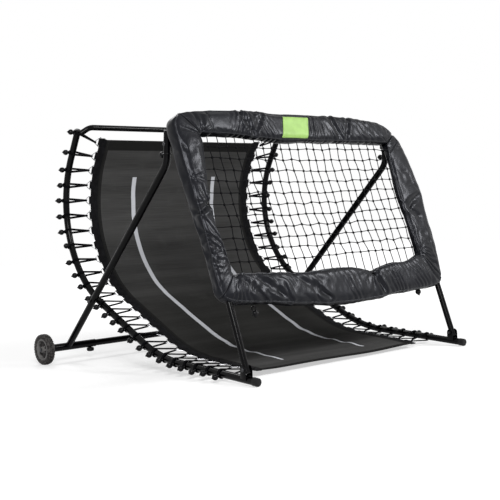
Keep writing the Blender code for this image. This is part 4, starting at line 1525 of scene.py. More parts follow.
@dataclass
class Hinge:
    """The bracket on a rail that holds one leg of the net frame, with its bolt."""

    side: Side
    ear_gap: float = 0.0155
    ear: float = 0.003
    ear_radius: float = 0.017
    ear_low: float = 0.0255
    saddle: float = 0.0022

    def build(self) -> None:
        """Makes the bracket and the bolt."""
        x = self.side.value * RAIL.x
        outer = self.ear_gap + self.ear
        shapes = [self._ear(x + start) for start in (-outer, self.ear_gap)]
        shape = joined([*shapes, self._saddle(x)])
        settle_side(self.side, "leg_bracket", shape, POWDER, "hinge_bracket")
        self._bolt()

    def _ear(self, x: float) -> Shape:
        """One ear with a round top.

        Args:
            x: where its left face is.

        Returns:
            The ear.
        """
        y, z, reach = PLANE.pivot_y, PLANE.pivot_z, self.ear_radius
        outline = [(x, y - reach, self.ear_low), (x, y + reach, self.ear_low)]
        for across, up in [*arc(20, 0.0, math.pi), (-1.0, 0.0)]:
            outline.append((x, y + across * reach, z + up * reach))
        return plate_shape(outline, (self.ear, 0, 0), 0.0006)

    def _saddle(self, x: float) -> Shape:
        """The saddle over the rail that joins the ears.

        Args:
            x: the middle of the rail.

        Returns:
            The saddle.
        """

        def place(u: float, v: float) -> Vector:
            """A point of the saddle's lower face.

            Args:
                u: the share round it.
                v: the share along it.

            Returns:
                The point.
            """
            angle = math.pi * (1.0 - u)
            y = PLANE.pivot_y + (v * 2 - 1) * self.ear_radius
            rail_z = RAIL.tip_z + (y - RAIL.tip_y) * math.tan(RAIL.tip_slope)
            reach = RAIL.radius + 0.0007
            return Vector((x + math.cos(angle) * reach, y, rail_z + math.sin(angle) * reach))

        seat = grid_surface(16, 6, place)
        outward(seat)
        bmesh.ops.solidify(seat, geom=seat.faces[:], thickness=-self.saddle)
        outward(seat)
        return seat

    def _bolt(self) -> None:
        """The hinge bolt."""
        length = 2 * (self.ear_gap + self.ear) + 0.012
        place = self.side.at(RAIL.x - 0.0055, PLANE.pivot_y, PLANE.pivot_z)
        shape = Bolt(head=0.0080).shape(place, self.side.out, length)
        settle_side(self.side, "pivot_bolt", shape, BOLT_STEEL, "hinge_bolt")


@dataclass
class TrampolineMat:
    """The curved woven mat, with the webbing along its sides and a tab at each ring."""

    half: float = 0.520
    front: float = 0.180
    back: float = 2.090
    thickness: float = 0.0024
    web_in: float = 0.480
    web_out: float = 0.5215
    first: float = 0.2250
    pitch: float = 0.0772
    count: int = 25
    tab_half: float = 0.0185
    floor_clear: float = 0.0035
    sag: float = 0.0105
    dip: float = 0.010
    slack: float = 0.34
    ripple: float = 0.0030
    ripple_pitch: float = 0.118
    cup: float = 0.0090

    @property
    def length(self) -> float:
        """The mat's length."""
        return self.back - self.front

    def build(self) -> None:
        """Makes the mat and its edges."""
        webs = [self._webbing(side) for side in Side]
        flat = (2 * self.half, self.length)
        shape = grid_surface(104, 190, self._sheet_point, flat, (-self.half, self.front))
        outward(shape)
        piece = settle("mat_cloth", shape, MAT_CLOTH, "mat", sharp=60.0)
        thicken(piece, "cloth", self.thickness)

    def marks(self) -> list[float]:
        """Distances along the rail of the rings."""
        return [self.first + self.pitch * i for i in range(self.count)]

    def point(self, x: float, mark: float, lift: float = 0.0) -> Vector:
        """A point of the mat's middle surface.

        Args:
            x: the distance from the middle.
            mark: the distance along the rails.
            lift: how far towards the inside of the curve.

        Returns:
            The point.
        """
        across = x / self.half
        front = max(0.0, 1.0 - (mark - self.front) / self.slack)
        droop = self.sag * (1.0 - across * across) + self.dip * max(0.0, across) ** 2
        flat = min(1.0, max(0.0, (1.25 - mark) / 0.5))
        wave = math.sin(mark * math.tau / self.ripple_pitch + x * 3.1)
        wave *= noise.noise(Vector((x * 2.1, mark * 2.7, 4.0)))
        wave *= self.ripple * min(1.0, (mark - self.front) / 0.3)
        cup = self.cup * noise.noise(Vector((x * 2.4, mark * 1.9, 9.0)))
        edge = 1.0 - abs(across) ** 6
        top = min(1.0, max(0.0, (self.back - mark) / 0.05))
        give = (wave * (0.6 + 1.6 * flat) + cup * (0.35 + flat * 0.4)) * edge
        lift += give * (0.3 + 0.7 * top) - front * front * droop
        y, z, slope = RAIL.at(mark)
        up = max(z + lift * math.cos(slope), self.floor_clear)
        return Vector((x, y - lift * math.sin(slope), up))

    def _sheet_point(self, u: float, v: float) -> Vector:
        """A point of the cloth at these shares across and along it."""
        return self.point((u * 2 - 1) * self.half, self.front + self.length * v)

    def _webbing(self, side: Side) -> bpy.types.Object:
        """The webbing on one side, folded over the mat's edge, with its tabs.

        Args:
            side: which side.

        Returns:
            The piece.
        """
        section = self._section(self.web_in, self.web_out, 0.0030, 14)

        def band(u: float, v: float) -> Vector:
            """A point of the band.

            Args:
                u: the share round it.
                v: the share along it.

            Returns:
                The point.
            """
            mark = self.front - 0.001 + (self.length + 0.002) * v
            x, lift = section(u)
            tug = math.cos((mark - self.first) / self.pitch * math.tau)
            if x > self.web_out - 0.014:
                x -= 0.0085 * max(0.0, -tug) ** 1.5
            return self.point(side.value * x, mark, lift)

        shapes = [welded(grid_surface(14, 400, band, (0.09, self.length)))]
        shapes += [self._tab(side, mark) for mark in self.marks()]
        return settle_side(side, "mat_webbing", joined(shapes), WEBBING, sharp=50.0)

    def _tab(self, side: Side, mark: float) -> Shape:
        """The webbing loop that holds one ring.

        Args:
            side: which side.
            mark: the ring's distance along the rail.

        Returns:
            The loop.
        """
        section = self._section(self.web_out - 0.030, self.web_out + 0.0068, 0.0050, 16)

        def fold(u: float, v: float) -> Vector:
            """A point of the loop."""
            x, lift = section(u)
            return self.point(side.value * x, mark + (v * 2 - 1) * self.tab_half, lift)

        return welded(grid_surface(16, 4, fold, (0.08, 2 * self.tab_half)))

    @staticmethod
    def _section(
        inner: float, outer: float, half: float, columns: int
    ) -> Callable[[float], Pair]:
        """The section of a folded band, from its edges, half its thickness and its columns.

        Args:
            inner: the x of its inner edge.
            outer: the x of its outer edge.
            half: half its thickness.
            columns: faces round it.

        Returns:
            A function that gives (x, lift) for a share round it.
        """
        middle, reach = (inner + outer) / 2, (outer - inner) / 2

        def at(u: float) -> Pair:
            """The place at a share round the section.

            Args:
                u: the share.

            Returns:
                Its x and lift.
            """
            angle = math.tau * (round(u * columns) % columns) / columns
            x = middle + swollen(math.cos(angle), 0.35) * reach
            return x, swollen(math.sin(angle), 0.5) * half

        return at


@dataclass
class BungeeRow:
    """One side's V rings, shock cords and balls."""

    side: Side
    mat: TrampolineMat
    ring_base: float = 0.5225
    ring_tip: float = 0.5520
    ring_half: float = 0.0240
    wire: float = 0.0018
    cord: float = 0.0028
    pair: float = 0.0028
    spread: float = 0.0100
    ball: float = 0.0138
    ball_reach: float = 0.0355
    fan_from: float = 1.900
    fan_reach: float = 1.600
    last_grip: float = 2.126
    crossing_at: float = 1.185
    clear: float = 0.036
    stray: float = 0.003
    left_leans: Pair = (-26.0, -8.0)
    right_leans: Pair = (-25.0, 15.0)
    leans: tuple[float, ...] = (-12, -10, -20, 14, -27, -25, -30, -4, -6, -8, -6)

    def build(self) -> None:
        """Makes the rings, cords and balls of the row."""
        rings, cords, balls = [], [], []
        draw = random.Random(11 + self.side.value)
        marks = self.mat.marks()
        leans = [None] * (len(marks) - len(self.leans)) + list(self.leans)
        for mark, lean in zip(marks, leans):
            rings.append(self._ring(mark))
            if lean is None:
                lean = draw.uniform(*self.left_leans)
            if self.side is Side.RIGHT:
                lean = draw.uniform(*self.right_leans)
            lean = math.radians(lean)
            grip = self.grip(mark)
            if mark < self.fan_from:
                grip += draw.uniform(-self.stray, self.stray)
            cords += [self._cord(mark, grip, lean, shift) for shift in (-self.pair, self.pair)]
            balls.append(self._ball(grip, lean, draw))
        settle_side(self.side, "v_rings", joined(rings), RING_WIRE)
        settle_side(self.side, "shock_cords", joined(cords), SHOCK_CORD, "bungee_row")
        settle_side(self.side, "bungee_balls", joined(balls), BALL_PLASTIC)

    def grip(self, mark: float) -> float:
        """Where the cord of a ring grips the rail: fanned out at the top, and clear of the strut.

        Args:
            mark: the ring's distance along the rail.

        Returns:
            The distance along the rail.
        """
        fan = max(0.0, mark - self.fan_from)
        place = min(mark + self.fan_reach * fan * fan, self.last_grip)
        away = place - self.crossing_at
        if abs(away) < self.clear:
            place = self.crossing_at + math.copysign(self.clear, away)
        return place

    def _ring(self, mark: float) -> Shape:
        """One V ring of bent wire, its base in the webbing.

        Args:
            mark: its distance along the rail.

        Returns:
            The ring.
        """
        base, half, tip = self.ring_base - 0.003, self.ring_half, self.ring_tip
        near = [(base, 0.004 - half), (base + 0.001, -half), (base + 0.006, 0.001 - half)]
        near.append((tip - 0.004, -0.0052))
        corners = [*near, (tip, 0.0), *((x, -along) for x, along in reversed(near))]
        shift = self._sag(mark)
        path = []
        for x, along in corners:
            fade = 1.0 - max(0.0, x - self.ring_base) / (RAIL.x - self.ring_base)
            path.append(RAIL.beside(self.side, mark, x, along) + shift * fade)
        return tube_shape(flowing(path, 3, closed=True), self.wire, 6, closed=True)

    def _sag(self, mark: float) -> Vector:
        """How far the mat's edge lies off the rails' plane at a ring."""
        edge = self.mat.point(self.side.value * self.ring_base, mark)
        return edge - RAIL.beside(self.side, mark, self.ring_base)

    def _cord(self, mark: float, grip: float, lean: float, shift: float) -> Shape:
        """One strand of a shock cord's pair: from its ball round the rail and through the ring.

        Args:
            mark: the ring's distance along the rail.
            grip: where the cord passes round the rail.
            lean: how far the ball is turned round the rail, in radians.
            shift: the strand's place in the pair.

        Returns:
            The strand.
        """
        wrap = RAIL.radius + self.cord + 0.0003
        sag = self._sag(mark) * 0.8
        tip = self.ring_tip - 0.0040
        rise = math.cos(RAIL.at(grip)[2]) * wrap
        skew = math.copysign(max(0.0, self.spread - abs(rise)), rise)

        def near(turn: float) -> Vector:
            """A point of the strand round the rail.

            Args:
                turn: the turn round the rail; 0 is away from the mat.

            Returns:
                The point.
            """
            out, inward = math.cos(turn) * wrap, math.sin(turn) * wrap
            slant = skew * math.sin(turn - lean)
            return RAIL.beside(self.side, grip, RAIL.x + out, shift + slant, inward)

        def through(lift: float, x: float) -> Vector:
            """A point of the strand by its ring."""
            return RAIL.beside(self.side, mark, x, shift * 0.75, lift) + sag

        turns = (0.35, 0.9, 1.35, 1.75)
        over = [near(lean + turn) for turn in turns]
        under = [near(lean - turn) for turn in reversed(turns)]
        above = (over[-1] + through(0.003, tip)) / 2
        below = (under[0] + through(-0.003, tip)) / 2
        ball = self._ball_at(grip, lean, shift * 0.5)
        path = [ball, *over, above, through(0.0034, tip + 0.001), through(0.0, tip - 0.0034)]
        path += [through(-0.0034, tip + 0.001), below, *under]
        return tube_shape(flowing(path, 2, closed=True), self.cord, 7, closed=True)

    def _ball_at(self, grip: float, lean: float, along: float = 0.0) -> Vector:
        """The middle of a ball, or a point beside it along the rail."""
        x = RAIL.x + self.ball_reach * math.cos(lean)
        return RAIL.beside(self.side, grip, x, along, self.ball_reach * math.sin(lean))

    def _ball(self, grip: float, lean: float, draw: random.Random) -> Shape:
        """One ball, its knot pointing away from the rail.

        Args:
            grip: where its cord passes round the rail.
            lean: how far it is turned round the rail, in radians.
            draw: what the random numbers come from.

        Returns:
            The ball.
        """
        centre = self._ball_at(grip, lean)
        rail = RAIL.beside(self.side, grip, RAIL.x)
        out = (centre - rail).normalized() + Vector(draw.uniform(-0.15, 0.15) for _ in range(3))
        return moved(ball_shape(self.ball, 14), onto(centre, out))


@dataclass
class NetFrame:
    """The bent tube of the net frame, with the hooked lugs that rest on the strut pins."""

    x: float = 0.66
    radius: float = 0.014
    top: float = 1.0675
    corner: float = 0.160
    leg_end: float = -0.016
    pin: float = 0.004
    play: float = 0.0018
    lug: float = 0.016
    lug_wall: float = 0.005

    def build(self, pin: Pair) -> None:
        """Makes the frame.

        Args:
            pin: the y and z of the strut pins, which the lugs hook over.
        """
        x, low, high = self.x, self.leg_end, self.top
        corners = [(-x, 0, low), (-x, 0, high), (x, 0, high), (x, 0, low)]
        shapes = [tube_shape(bent_path(corners, self.corner, 12), self.radius)]
        place = PLANE.matrix.inverted() @ Vector((0.0, *pin))
        shapes += [self._lug(side, place.y, place.z) for side in Side]
        shape = joined(shapes)
        settle("net_frame_tube", shape, POWDER, "net_frame", PANEL, PLANE.matrix)

    def _lug(self, side: Side, back: float, up: float) -> Shape:
        """One lug plate with its notch open to the rear.

        Args:
            side: which side.
            back: the pin's distance behind the frame.
            up: the pin's height up the frame.

        Returns:
            The lug.
        """
        gap, half, bevel = self.pin + self.play, self.lug, self.lug - 0.004
        below = [(0.004, -half), (back + 0.008, -half)]
        below += [(back + 0.012, -bevel), (back + 0.012, -gap)]
        notch = arc(8, math.radians(-90), math.radians(-270)) + [(0.0, 1.0)]
        outline = [*below, *((back + gap * deep * 0.75, gap * rise) for deep, rise in notch)]
        outline += [(y, -z) for y, z in reversed(below)]
        start = side.value * (self.x + 0.008)
        corners = [(start, y, up + z) for y, z in outline]
        return plate_shape(corners, (side.value * self.lug_wall, 0, 0), 0.0006)


def bell(far: float, width: float) -> float:
    """1 in the middle, fading smoothly with the distance; about a third at the width."""
    return math.exp(-((far / width) ** 2))


@dataclass(frozen=True)
class Gather:
    """Creases that spread over a cover from where it is drawn in, in the panel's plane."""

    x: float
    v: float
    middle: float
    half: float
    creases: float
    reach: float
    height: float
    draw: float = 0.006

    def lift(self, x: float, v: float, wander: float) -> float:
        """How far the cover stands out here because of this gather.

        Args:
            x: the place across the panel.
            v: the place up the panel.
            wander: a little noise, so that no crease runs straight.

        Returns:
            The lift.
        """
        across, up = x - self.x, v - self.v
        far = math.hypot(across, up)
        if far > self.reach * 2.4:
            return 0.0
        pull = self.draw * bell(far, 0.022)
        turn = math.degrees(math.atan2(up, across)) - self.middle
        turn = abs((turn + 180.0) % 360.0 - 180.0)
        inside = max(0.0, min(1.0, (self.half - turn) / 14.0 + 1.0))
        if inside <= 0.0:
            return -pull
        phase = self.creases * math.radians(turn) + wander * 0.9 + far * 6.0
        ridge = abs(math.sin(phase)) ** 0.8 - 0.55
        return self.height * ridge * inside * min(1.0, far / 0.025) * bell(far, self.reach) - pull


@dataclass(frozen=True)
class FoldBand:
    """A group of side by side folds: its middle, their run, their pitch and its spread."""

    x: float
    v: float
    run: float
    pitch: float
    across: float
    along: float
    height: float

    def lift(self, x: float, v: float, wander: float) -> float:
        """How far the cover stands out here because of these folds.

        Args:
            x: the place across the panel.
            v: the place up the panel.
            wander: a little noise, so that no crease runs straight.

        Returns:
            The lift.
        """
        angle = math.radians(self.run)
        side = -(x - self.x) * math.sin(angle) + (v - self.v) * math.cos(angle)
        down = (x - self.x) * math.cos(angle) + (v - self.v) * math.sin(angle)
        spread = (side / self.across) ** 2 + (down / self.along) ** 2
        if spread > 5.0:
            return 0.0
        phase = math.pi * side / self.pitch + wander * 1.5
        return self.height * (abs(math.sin(phase)) ** 0.8 - 0.6) * math.exp(-spread)


@dataclass(frozen=True)
class Crease:
    """One deep crease along a line in the panel's plane."""

    start: Pair
    end: Pair
    width: float
    depth: float

    def lift(self, x: float, v: float, wander: float) -> float:
        """How far the cover stands out here because of this crease.

        Args:
            x: the place across the panel.
            v: the place up the panel.
            wander: a little noise, so that no crease runs straight.

        Returns:
            The lift.
        """
        line = Vector(self.end) - Vector(self.start)
        spot = Vector((x, v)) - Vector(self.start)
        share = max(0.0, min(1.0, spot.dot(line) / line.length_squared))
        far = (spot - line * share).length + wander * 0.0015
        swell = bell(far - self.width * 1.9, self.width)
        return self.depth * (0.35 * swell - bell(far, self.width))


PAD_DEPTH = 0.030


@dataclass(frozen=True)
class Station:
    """A place along a pad: its inner and outer edge in the panel's plane, and its depths."""

    inner: Pair
    outer: Pair
    front: float
    back: float


@dataclass(frozen=True)
class PadPlan:
    """One pad: its name, its stations and its sewn seams."""

    name: str
    stations: tuple[Station, ...]
    seams: tuple[float, ...] = ()


def stations(*rows: tuple[float, ...]) -> tuple[Station, ...]:
    """Stations from rows of numbers.

    Args:
        rows: the inner x and height, the outer x and height, and, where they aren't the usual
            ones, the back and the front depth.

    Returns:
        The stations.
    """
    made = []
    for row in rows:
        back, front = (*row[4:], *(PAD_DEPTH, PAD_DEPTH)[len(row) - 4 :])
        made.append(Station(row[0:2], row[2:4], front, back))
    return tuple(made)


PAD_PLANS = (
    PadPlan(
        "top",
        stations(
            (-0.594, 1.004, -0.688, 1.100, 0.055),
            (-0.585, 1.0075, -0.647, 1.1090, 0.055),
            (-0.560, 1.008, -0.588, 1.1150, 0.042),
            (-0.500, 1.0075, -0.505, 1.1220),
            (-0.400, 1.003, -0.400, 1.1250),
            (-0.275, 0.993, -0.275, 1.1260),
            (-0.130, 0.983, -0.130, 1.1240),
            (0.000, 0.984, 0.000, 1.1230),
            (0.130, 0.984, 0.130, 1.1220),
            (0.285, 0.985, 0.285, 1.1150),
            (0.400, 0.987, 0.400, 1.1110),
            (0.500, 0.987, 0.510, 1.1020),
            (0.550, 0.986, 0.575, 1.0840),
            (0.570, 0.985, 0.6180, 1.0600, 0.030, 0.028),
            (0.580, 0.983, 0.647, 1.0360, 0.030, 0.026),
        ),
        (0.085, 0.62),
    ),
    PadPlan(
        "bottom",
        stations(
            (0.578, 0.397, 0.691, 0.271, 0.030, 0.028),
            (0.568, 0.401, 0.664, 0.246),
            (0.545, 0.400, 0.612, 0.235),
            (0.500, 0.386, 0.528, 0.228),
            (0.437, 0.375, 0.440, 0.226),
            (0.363, 0.372, 0.371, 0.225),
            (0.270, 0.362, 0.270, 0.217),
            (0.201, 0.348, 0.201, 0.213),
            (0.121, 0.366, 0.115, 0.209),
            (0.021, 0.378, 0.021, 0.206),
            (-0.109, 0.374, -0.109, 0.210),
            (-0.229, 0.371, -0.229, 0.221),
            (-0.330, 0.376, -0.330, 0.233),
            (-0.430, 0.383, -0.440, 0.246),
            (-0.530, 0.388, -0.550, 0.258),
            (-0.585, 0.391, -0.632, 0.268),
            (-0.605, 0.393, -0.676, 0.280),
            (-0.612, 0.395, -0.700, 0.296),
        ),
        (0.30,),
    ),
    PadPlan(
        "left",
        stations(
            (-0.612, 0.395, -0.700, 0.296),
            (-0.615, 0.405, -0.709, 0.322),
            (-0.618, 0.425, -0.713, 0.360),
            (-0.625, 0.460, -0.714, 0.430, 0.033),
            (-0.634, 0.510, -0.711, 0.505, 0.038),
            (-0.640, 0.600, -0.710, 0.600, 0.044),
            (-0.640, 0.675, -0.710, 0.675, 0.050),
            (-0.632, 0.750, -0.715, 0.750, 0.054),
            (-0.614, 0.840, -0.722, 0.840, 0.058),
            (-0.602, 0.930, -0.724, 0.930, 0.060),
            (-0.597, 0.975, -0.724, 0.990, 0.060),
            (-0.595, 0.995, -0.725, 1.034, 0.060),
            (-0.594, 1.002, -0.717, 1.072, 0.060),
            (-0.594, 1.004, -0.688, 1.100, 0.055),
        ),
    ),
    PadPlan(
        "right",
        stations(
            (0.580, 0.983, 0.647, 1.036, 0.030, 0.026),
            (0.577, 0.970, 0.670, 1.012, 0.027, 0.024),
            (0.575, 0.950, 0.688, 0.985, 0.023, 0.022),
            (0.570, 0.920, 0.703, 0.945, 0.019, 0.020),
            (0.566, 0.870, 0.716, 0.885, 0.017, 0.019),
            (0.564, 0.800, 0.726, 0.805, 0.016, 0.019),
            (0.564, 0.690, 0.732, 0.690, 0.016, 0.019),
            (0.568, 0.577, 0.728, 0.577, 0.016, 0.019),
            (0.574, 0.480, 0.720, 0.475, 0.019, 0.021),
            (0.577, 0.440, 0.710, 0.400, 0.023, 0.024),
            (0.577, 0.415, 0.702, 0.322, 0.028, 0.026),
            (0.578, 0.397, 0.691, 0.271, 0.030, 0.028),
        ),
    ),
)

COVER_FOLDS: tuple[Gather | FoldBand | Crease, ...] = (
    Gather(-0.612, 0.392, -52.0, 52.0, 15.0, 0.190, 0.0085),
    Gather(-0.612, 0.400, 132.0, 46.0, 9.0, 0.150, 0.0080),
    Gather(0.578, 0.396, 20.0, 105.0, 10.0, 0.150, 0.0090),
    Gather(0.201, 0.350, -90.0, 80.0, 7.0, 0.095, 0.0100, 0.014),
    Gather(-0.594, 1.006, 100.0, 75.0, 5.0, 0.095, 0.0080),
    Gather(0.582, 0.983, 60.0, 90.0, 8.0, 0.110, 0.0070),
    Gather(0.594, 0.655, 40.0, 110.0, 3.0, 0.085, 0.0050, 0.010),
    Gather(-0.706, 0.815, -20.0, 70.0, 4.0, 0.070, 0.0070, 0.006),
    Gather(-0.706, 0.470, 0.0, 70.0, 5.0, 0.080, 0.0070, 0.006),
    FoldBand(-0.345, 1.060, 66.0, 0.026, 0.060, 0.090, 0.0110),
    FoldBand(-0.225, 1.060, 118.0, 0.024, 0.045, 0.090, 0.0095),
    FoldBand(0.075, 1.050, 80.0, 0.026, 0.040, 0.090, 0.0080),
    FoldBand(0.235, 1.055, 112.0, 0.028, 0.060, 0.090, 0.0110),
    FoldBand(0.420, 1.050, 128.0, 0.034, 0.070, 0.090, 0.0095),
    FoldBand(0.665, 0.800, 118.0, 0.040, 0.060, 0.075, 0.0120),
    FoldBand(0.655, 0.530, 104.0, 0.040, 0.050, 0.130, 0.0080),
    FoldBand(-0.375, 0.310, -50.0, 0.040, 0.090, 0.090, 0.0115),
    FoldBand(-0.170, 0.290, -44.0, 0.044, 0.090, 0.090, 0.0105),
    FoldBand(0.040, 0.285, -72.0, 0.034, 0.060, 0.090, 0.0080),
    FoldBand(0.345, 0.300, -74.0, 0.025, 0.070, 0.100, 0.0105),
    FoldBand(0.500, 0.310, -64.0, 0.024, 0.060, 0.090, 0.0100),
    FoldBand(-0.680, 0.540, 124.0, 0.030, 0.075, 0.080, 0.0095),
    FoldBand(-0.665, 0.760, 98.0, 0.036, 0.045, 0.090, 0.0085),
    FoldBand(-0.655, 0.930, 84.0, 0.044, 0.050, 0.080, 0.0070),
    Crease((-0.706, 0.664), (-0.640, 0.694), 0.012, 0.014),
    Crease((0.203, 0.350), (0.236, 0.240), 0.013, 0.014),
    Crease((0.592, 0.655), (0.690, 0.700), 0.013, 0.013),
    Crease((0.592, 0.640), (0.655, 0.590), 0.012, 0.009),
    Crease((-0.345, 1.118), (-0.300, 1.010), 0.011, 0.010),
    Crease((-0.300, 1.010), (-0.225, 1.105), 0.010, 0.009),
    Crease((0.205, 1.110), (0.240, 1.000), 0.011, 0.010),
    Crease((0.330, 1.105), (0.285, 1.000), 0.010, 0.008),
    Crease((-0.500, 0.372), (-0.350, 0.250), 0.011, 0.011),
    Crease((-0.290, 0.365), (-0.120, 0.235), 0.012, 0.011),
    Crease((-0.600, 0.385), (-0.480, 0.260), 0.010, 0.008),
)


@dataclass
class Pads:
    """The four padded sleeves round the net frame, with their creases and gathered places."""

    around: int = 64
    spacing: float = 0.0050
    squareness: float = 0.50
    face_depth: float = 0.020
    sway: float = 0.0060
    ridge: float = 0.0022
    end_tuck: float = 0.0020
    seam_tuck: float = 0.0026
    tuck_reach: float = 0.006

    def build(self) -> list[bpy.types.Object]:
        """Makes the four pads."""
        return [self._pad(plan) for plan in PAD_PLANS]

    def rings(self, plan: PadPlan) -> list[tuple[Vector, Vector, float, float]]:
        """Evenly spaced places along a pad.

        Args:
            plan: the pad.

        Returns:
            For each place its inner and outer edge, and its front and back depth.
        """
        rows = [
            [(*station.inner, 0.0) for station in plan.stations],
            [(*station.outer, 0.0) for station in plan.stations],
            [(station.front, station.back, 0.0) for station in plan.stations],
        ]
        inner, outer, _ = lines = [flowing(row, 12) for row in rows]
        marks = [0.0]
        for i in range(1, len(inner)):
            step = ((inner[i] + outer[i]) - (inner[i - 1] + outer[i - 1])).length / 2
            marks.append(marks[-1] + step)
        count = round(marks[-1] / self.spacing)
        rings, i = [], 0
        for step in range(count + 1):
            mark = marks[-1] * step / count
            while i < len(marks) - 2 and marks[i + 1] < mark:
                i += 1
            share = (mark - marks[i]) / (marks[i + 1] - marks[i])
            near, far, depth = (line[i].lerp(line[i + 1], share) for line in lines)
            rings.append((near, far, depth.x, depth.y))
        return rings

    def smooth(
        self, ring: tuple[Vector, Vector, float, float], share: float, grow: float = 1.0
    ) -> Vector:
        """A point of the sleeve before its creases.

        Args:
            ring: the place along the pad.
            share: the share round the sleeve, from 0 to 1.
            grow: a factor on the section's size.

        Returns:
            The point, in the panel's plane.
        """
        inner, outer, front, back = ring
        angle = math.tau * share
        across = swollen(math.cos(angle), self.squareness) * grow
        deep = swollen(math.sin(angle), self.squareness) * grow
        spot = inner.lerp(outer, (across + 1.0) / 2)
        bulge = max(0.0, across) if back > PAD_DEPTH + 0.0001 else 1.0
        reach = front if deep < 0 else PAD_DEPTH + (back - PAD_DEPTH) * bulge
        return Vector((spot.x, deep * reach, spot.y))

    def _relief(self, spot: Vector) -> float:
        """How far the creases lift the cover.

        Args:
            spot: a point of it, in the panel's plane.

        Returns:
            The lift.
        """
        x, y, z = spot
        wander = noise.noise(Vector((x * 17.0, y * 9.0, z * 17.0)))
        lift = 0.0
        if y < self.face_depth:
            face = min(1.0, (self.face_depth - y) / 0.018)
            lift = sum(fold.lift(x, z, wander) for fold in COVER_FOLDS) * face
        sway = noise.noise(Vector((x * 7.5, y * 10.0, z * 7.5 + 3.0)))
        ridges = noise.noise(Vector((x * 21.0 + wander, y * 13.0, z * 10.0 + 7.0)))
        return lift + sway * self.sway + (0.28 - abs(ridges)) * self.ridge

    def _pad(self, plan: PadPlan) -> bpy.types.Object:
        """One pad: its sleeve, creased, inflated by the cloth simulation and finished.

        Args:
            plan: the pad.

        Returns:
            The piece.
        """
        rings = self.rings(plan)
        rows = len(rings) - 1
        length = rows * self.spacing

        def place(u: float, v: float) -> Vector:
            """A point of the creased sleeve.

            Args:
                u: the share round it.
                v: the share along it.

            Returns:
                The point.
            """
            i = round(v * rows)
            share = (round(u * self.around) % self.around) / self.around
            spot = self.smooth(rings[i], share)
            out = (spot - self.smooth(rings[i], share, 0.9)).normalized()
            end = min(i, rows - i) * self.spacing
            tuck = self.end_tuck * bell(end, self.tuck_reach)
            for seam in plan.seams:
                tuck += self.seam_tuck * bell((i / rows - seam) * length, self.tuck_reach)
            return spot + out * (self._relief(spot) - tuck)

        shape = grid_surface(self.around, rows, place, (0.27, length))
        bmesh.ops.remove_doubles(shape, verts=shape.verts, dist=MERGE)
        self._close_ends(shape)
        outward(shape)
        name, node = f"{plan.name}_pad_cover", f"{plan.name}_pad"
        piece = settle(name, shape, PAD_VINYL, node, PANEL, PLANE.matrix, 80.0)
        inflate(piece)
        smoothing = piece.modifiers.new("rounding", "SUBSURF")
        smoothing.levels = smoothing.render_levels = 1
        return piece

    @staticmethod
    def _close_ends(shape: Shape) -> None:
        """Closes both ends of a sleeve with a face that is inset in rings.

        Args:
            shape: the sleeve.
        """
        edges = [edge for edge in shape.edges if edge.is_boundary]
        made = bmesh.ops.holes_fill(shape, edges=edges, sides=0)
        for face in made["faces"]:
            for inset in (0.008, 0.009):
                bmesh.ops.inset_region(
                    shape, faces=[face], thickness=inset, use_even_offset=False
                )


COVER_CLOTH = {
    "quality": 6,
    "mass": 0.25,
    "tension_stiffness": 18.0,
    "compression_stiffness": 12.0,
    "shear_stiffness": 6.0,
    "bending_stiffness": 0.35,
    "air_damping": 4.0,
    "use_pressure": True,
    "uniform_pressure_force": 2.0,
    "shrink_min": -0.008,  # below 0 the cover is cut larger, so that it creases
}
COVER_FRAMES = 14
COVER_GIVE = 0.004
END_HOLD = 0.03


def inflate(piece: bpy.types.Object) -> None:
    """Lets a cover settle as cloth over its filling, and keeps the result.

    No point moves further than COVER_GIVE, and the ends, over END_HOLD, less and less.

    Args:
        piece: the cover, a closed mesh.
    """
    scene = bpy.context.scene
    before = [vert.co.copy() for vert in piece.data.vertices]
    layer = piece.data.uv_layers[0].data
    length = max(item.uv.y for item in layer)
    holds = [1.0] * len(before)
    for loop in piece.data.loops:
        along = layer[loop.index].uv.y
        hold = min(along, length - along) / END_HOLD
        holds[loop.vertex_index] = min(holds[loop.vertex_index], hold)
    cloth = piece.modifiers.new("cover", "CLOTH")
    for name, value in COVER_CLOTH.items():
        setattr(cloth.settings, name, value)
    cloth.settings.effector_weights.gravity = 0.0
    cloth.collision_settings.use_collision = False
    cloth.point_cache.frame_start = 1
    cloth.point_cache.frame_end = COVER_FRAMES
    for step in range(1, COVER_FRAMES + 1):
        scene.frame_set(step)
    graph = bpy.context.evaluated_depsgraph_get()
    settled = piece.evaluated_get(graph).to_mesh()
    moves = [vert.co - start for vert, start in zip(settled.vertices, before)]
    piece.evaluated_get(graph).to_mesh_clear()
    piece.modifiers.remove(cloth)
    scene.frame_set(1)
    for vert, start, move, hold in zip(piece.data.vertices, before, moves, holds):
        if move.length > COVER_GIVE:
            move = move * (COVER_GIVE / move.length)
        vert.co = start + move * max(0.0, hold)
    piece.data.update()


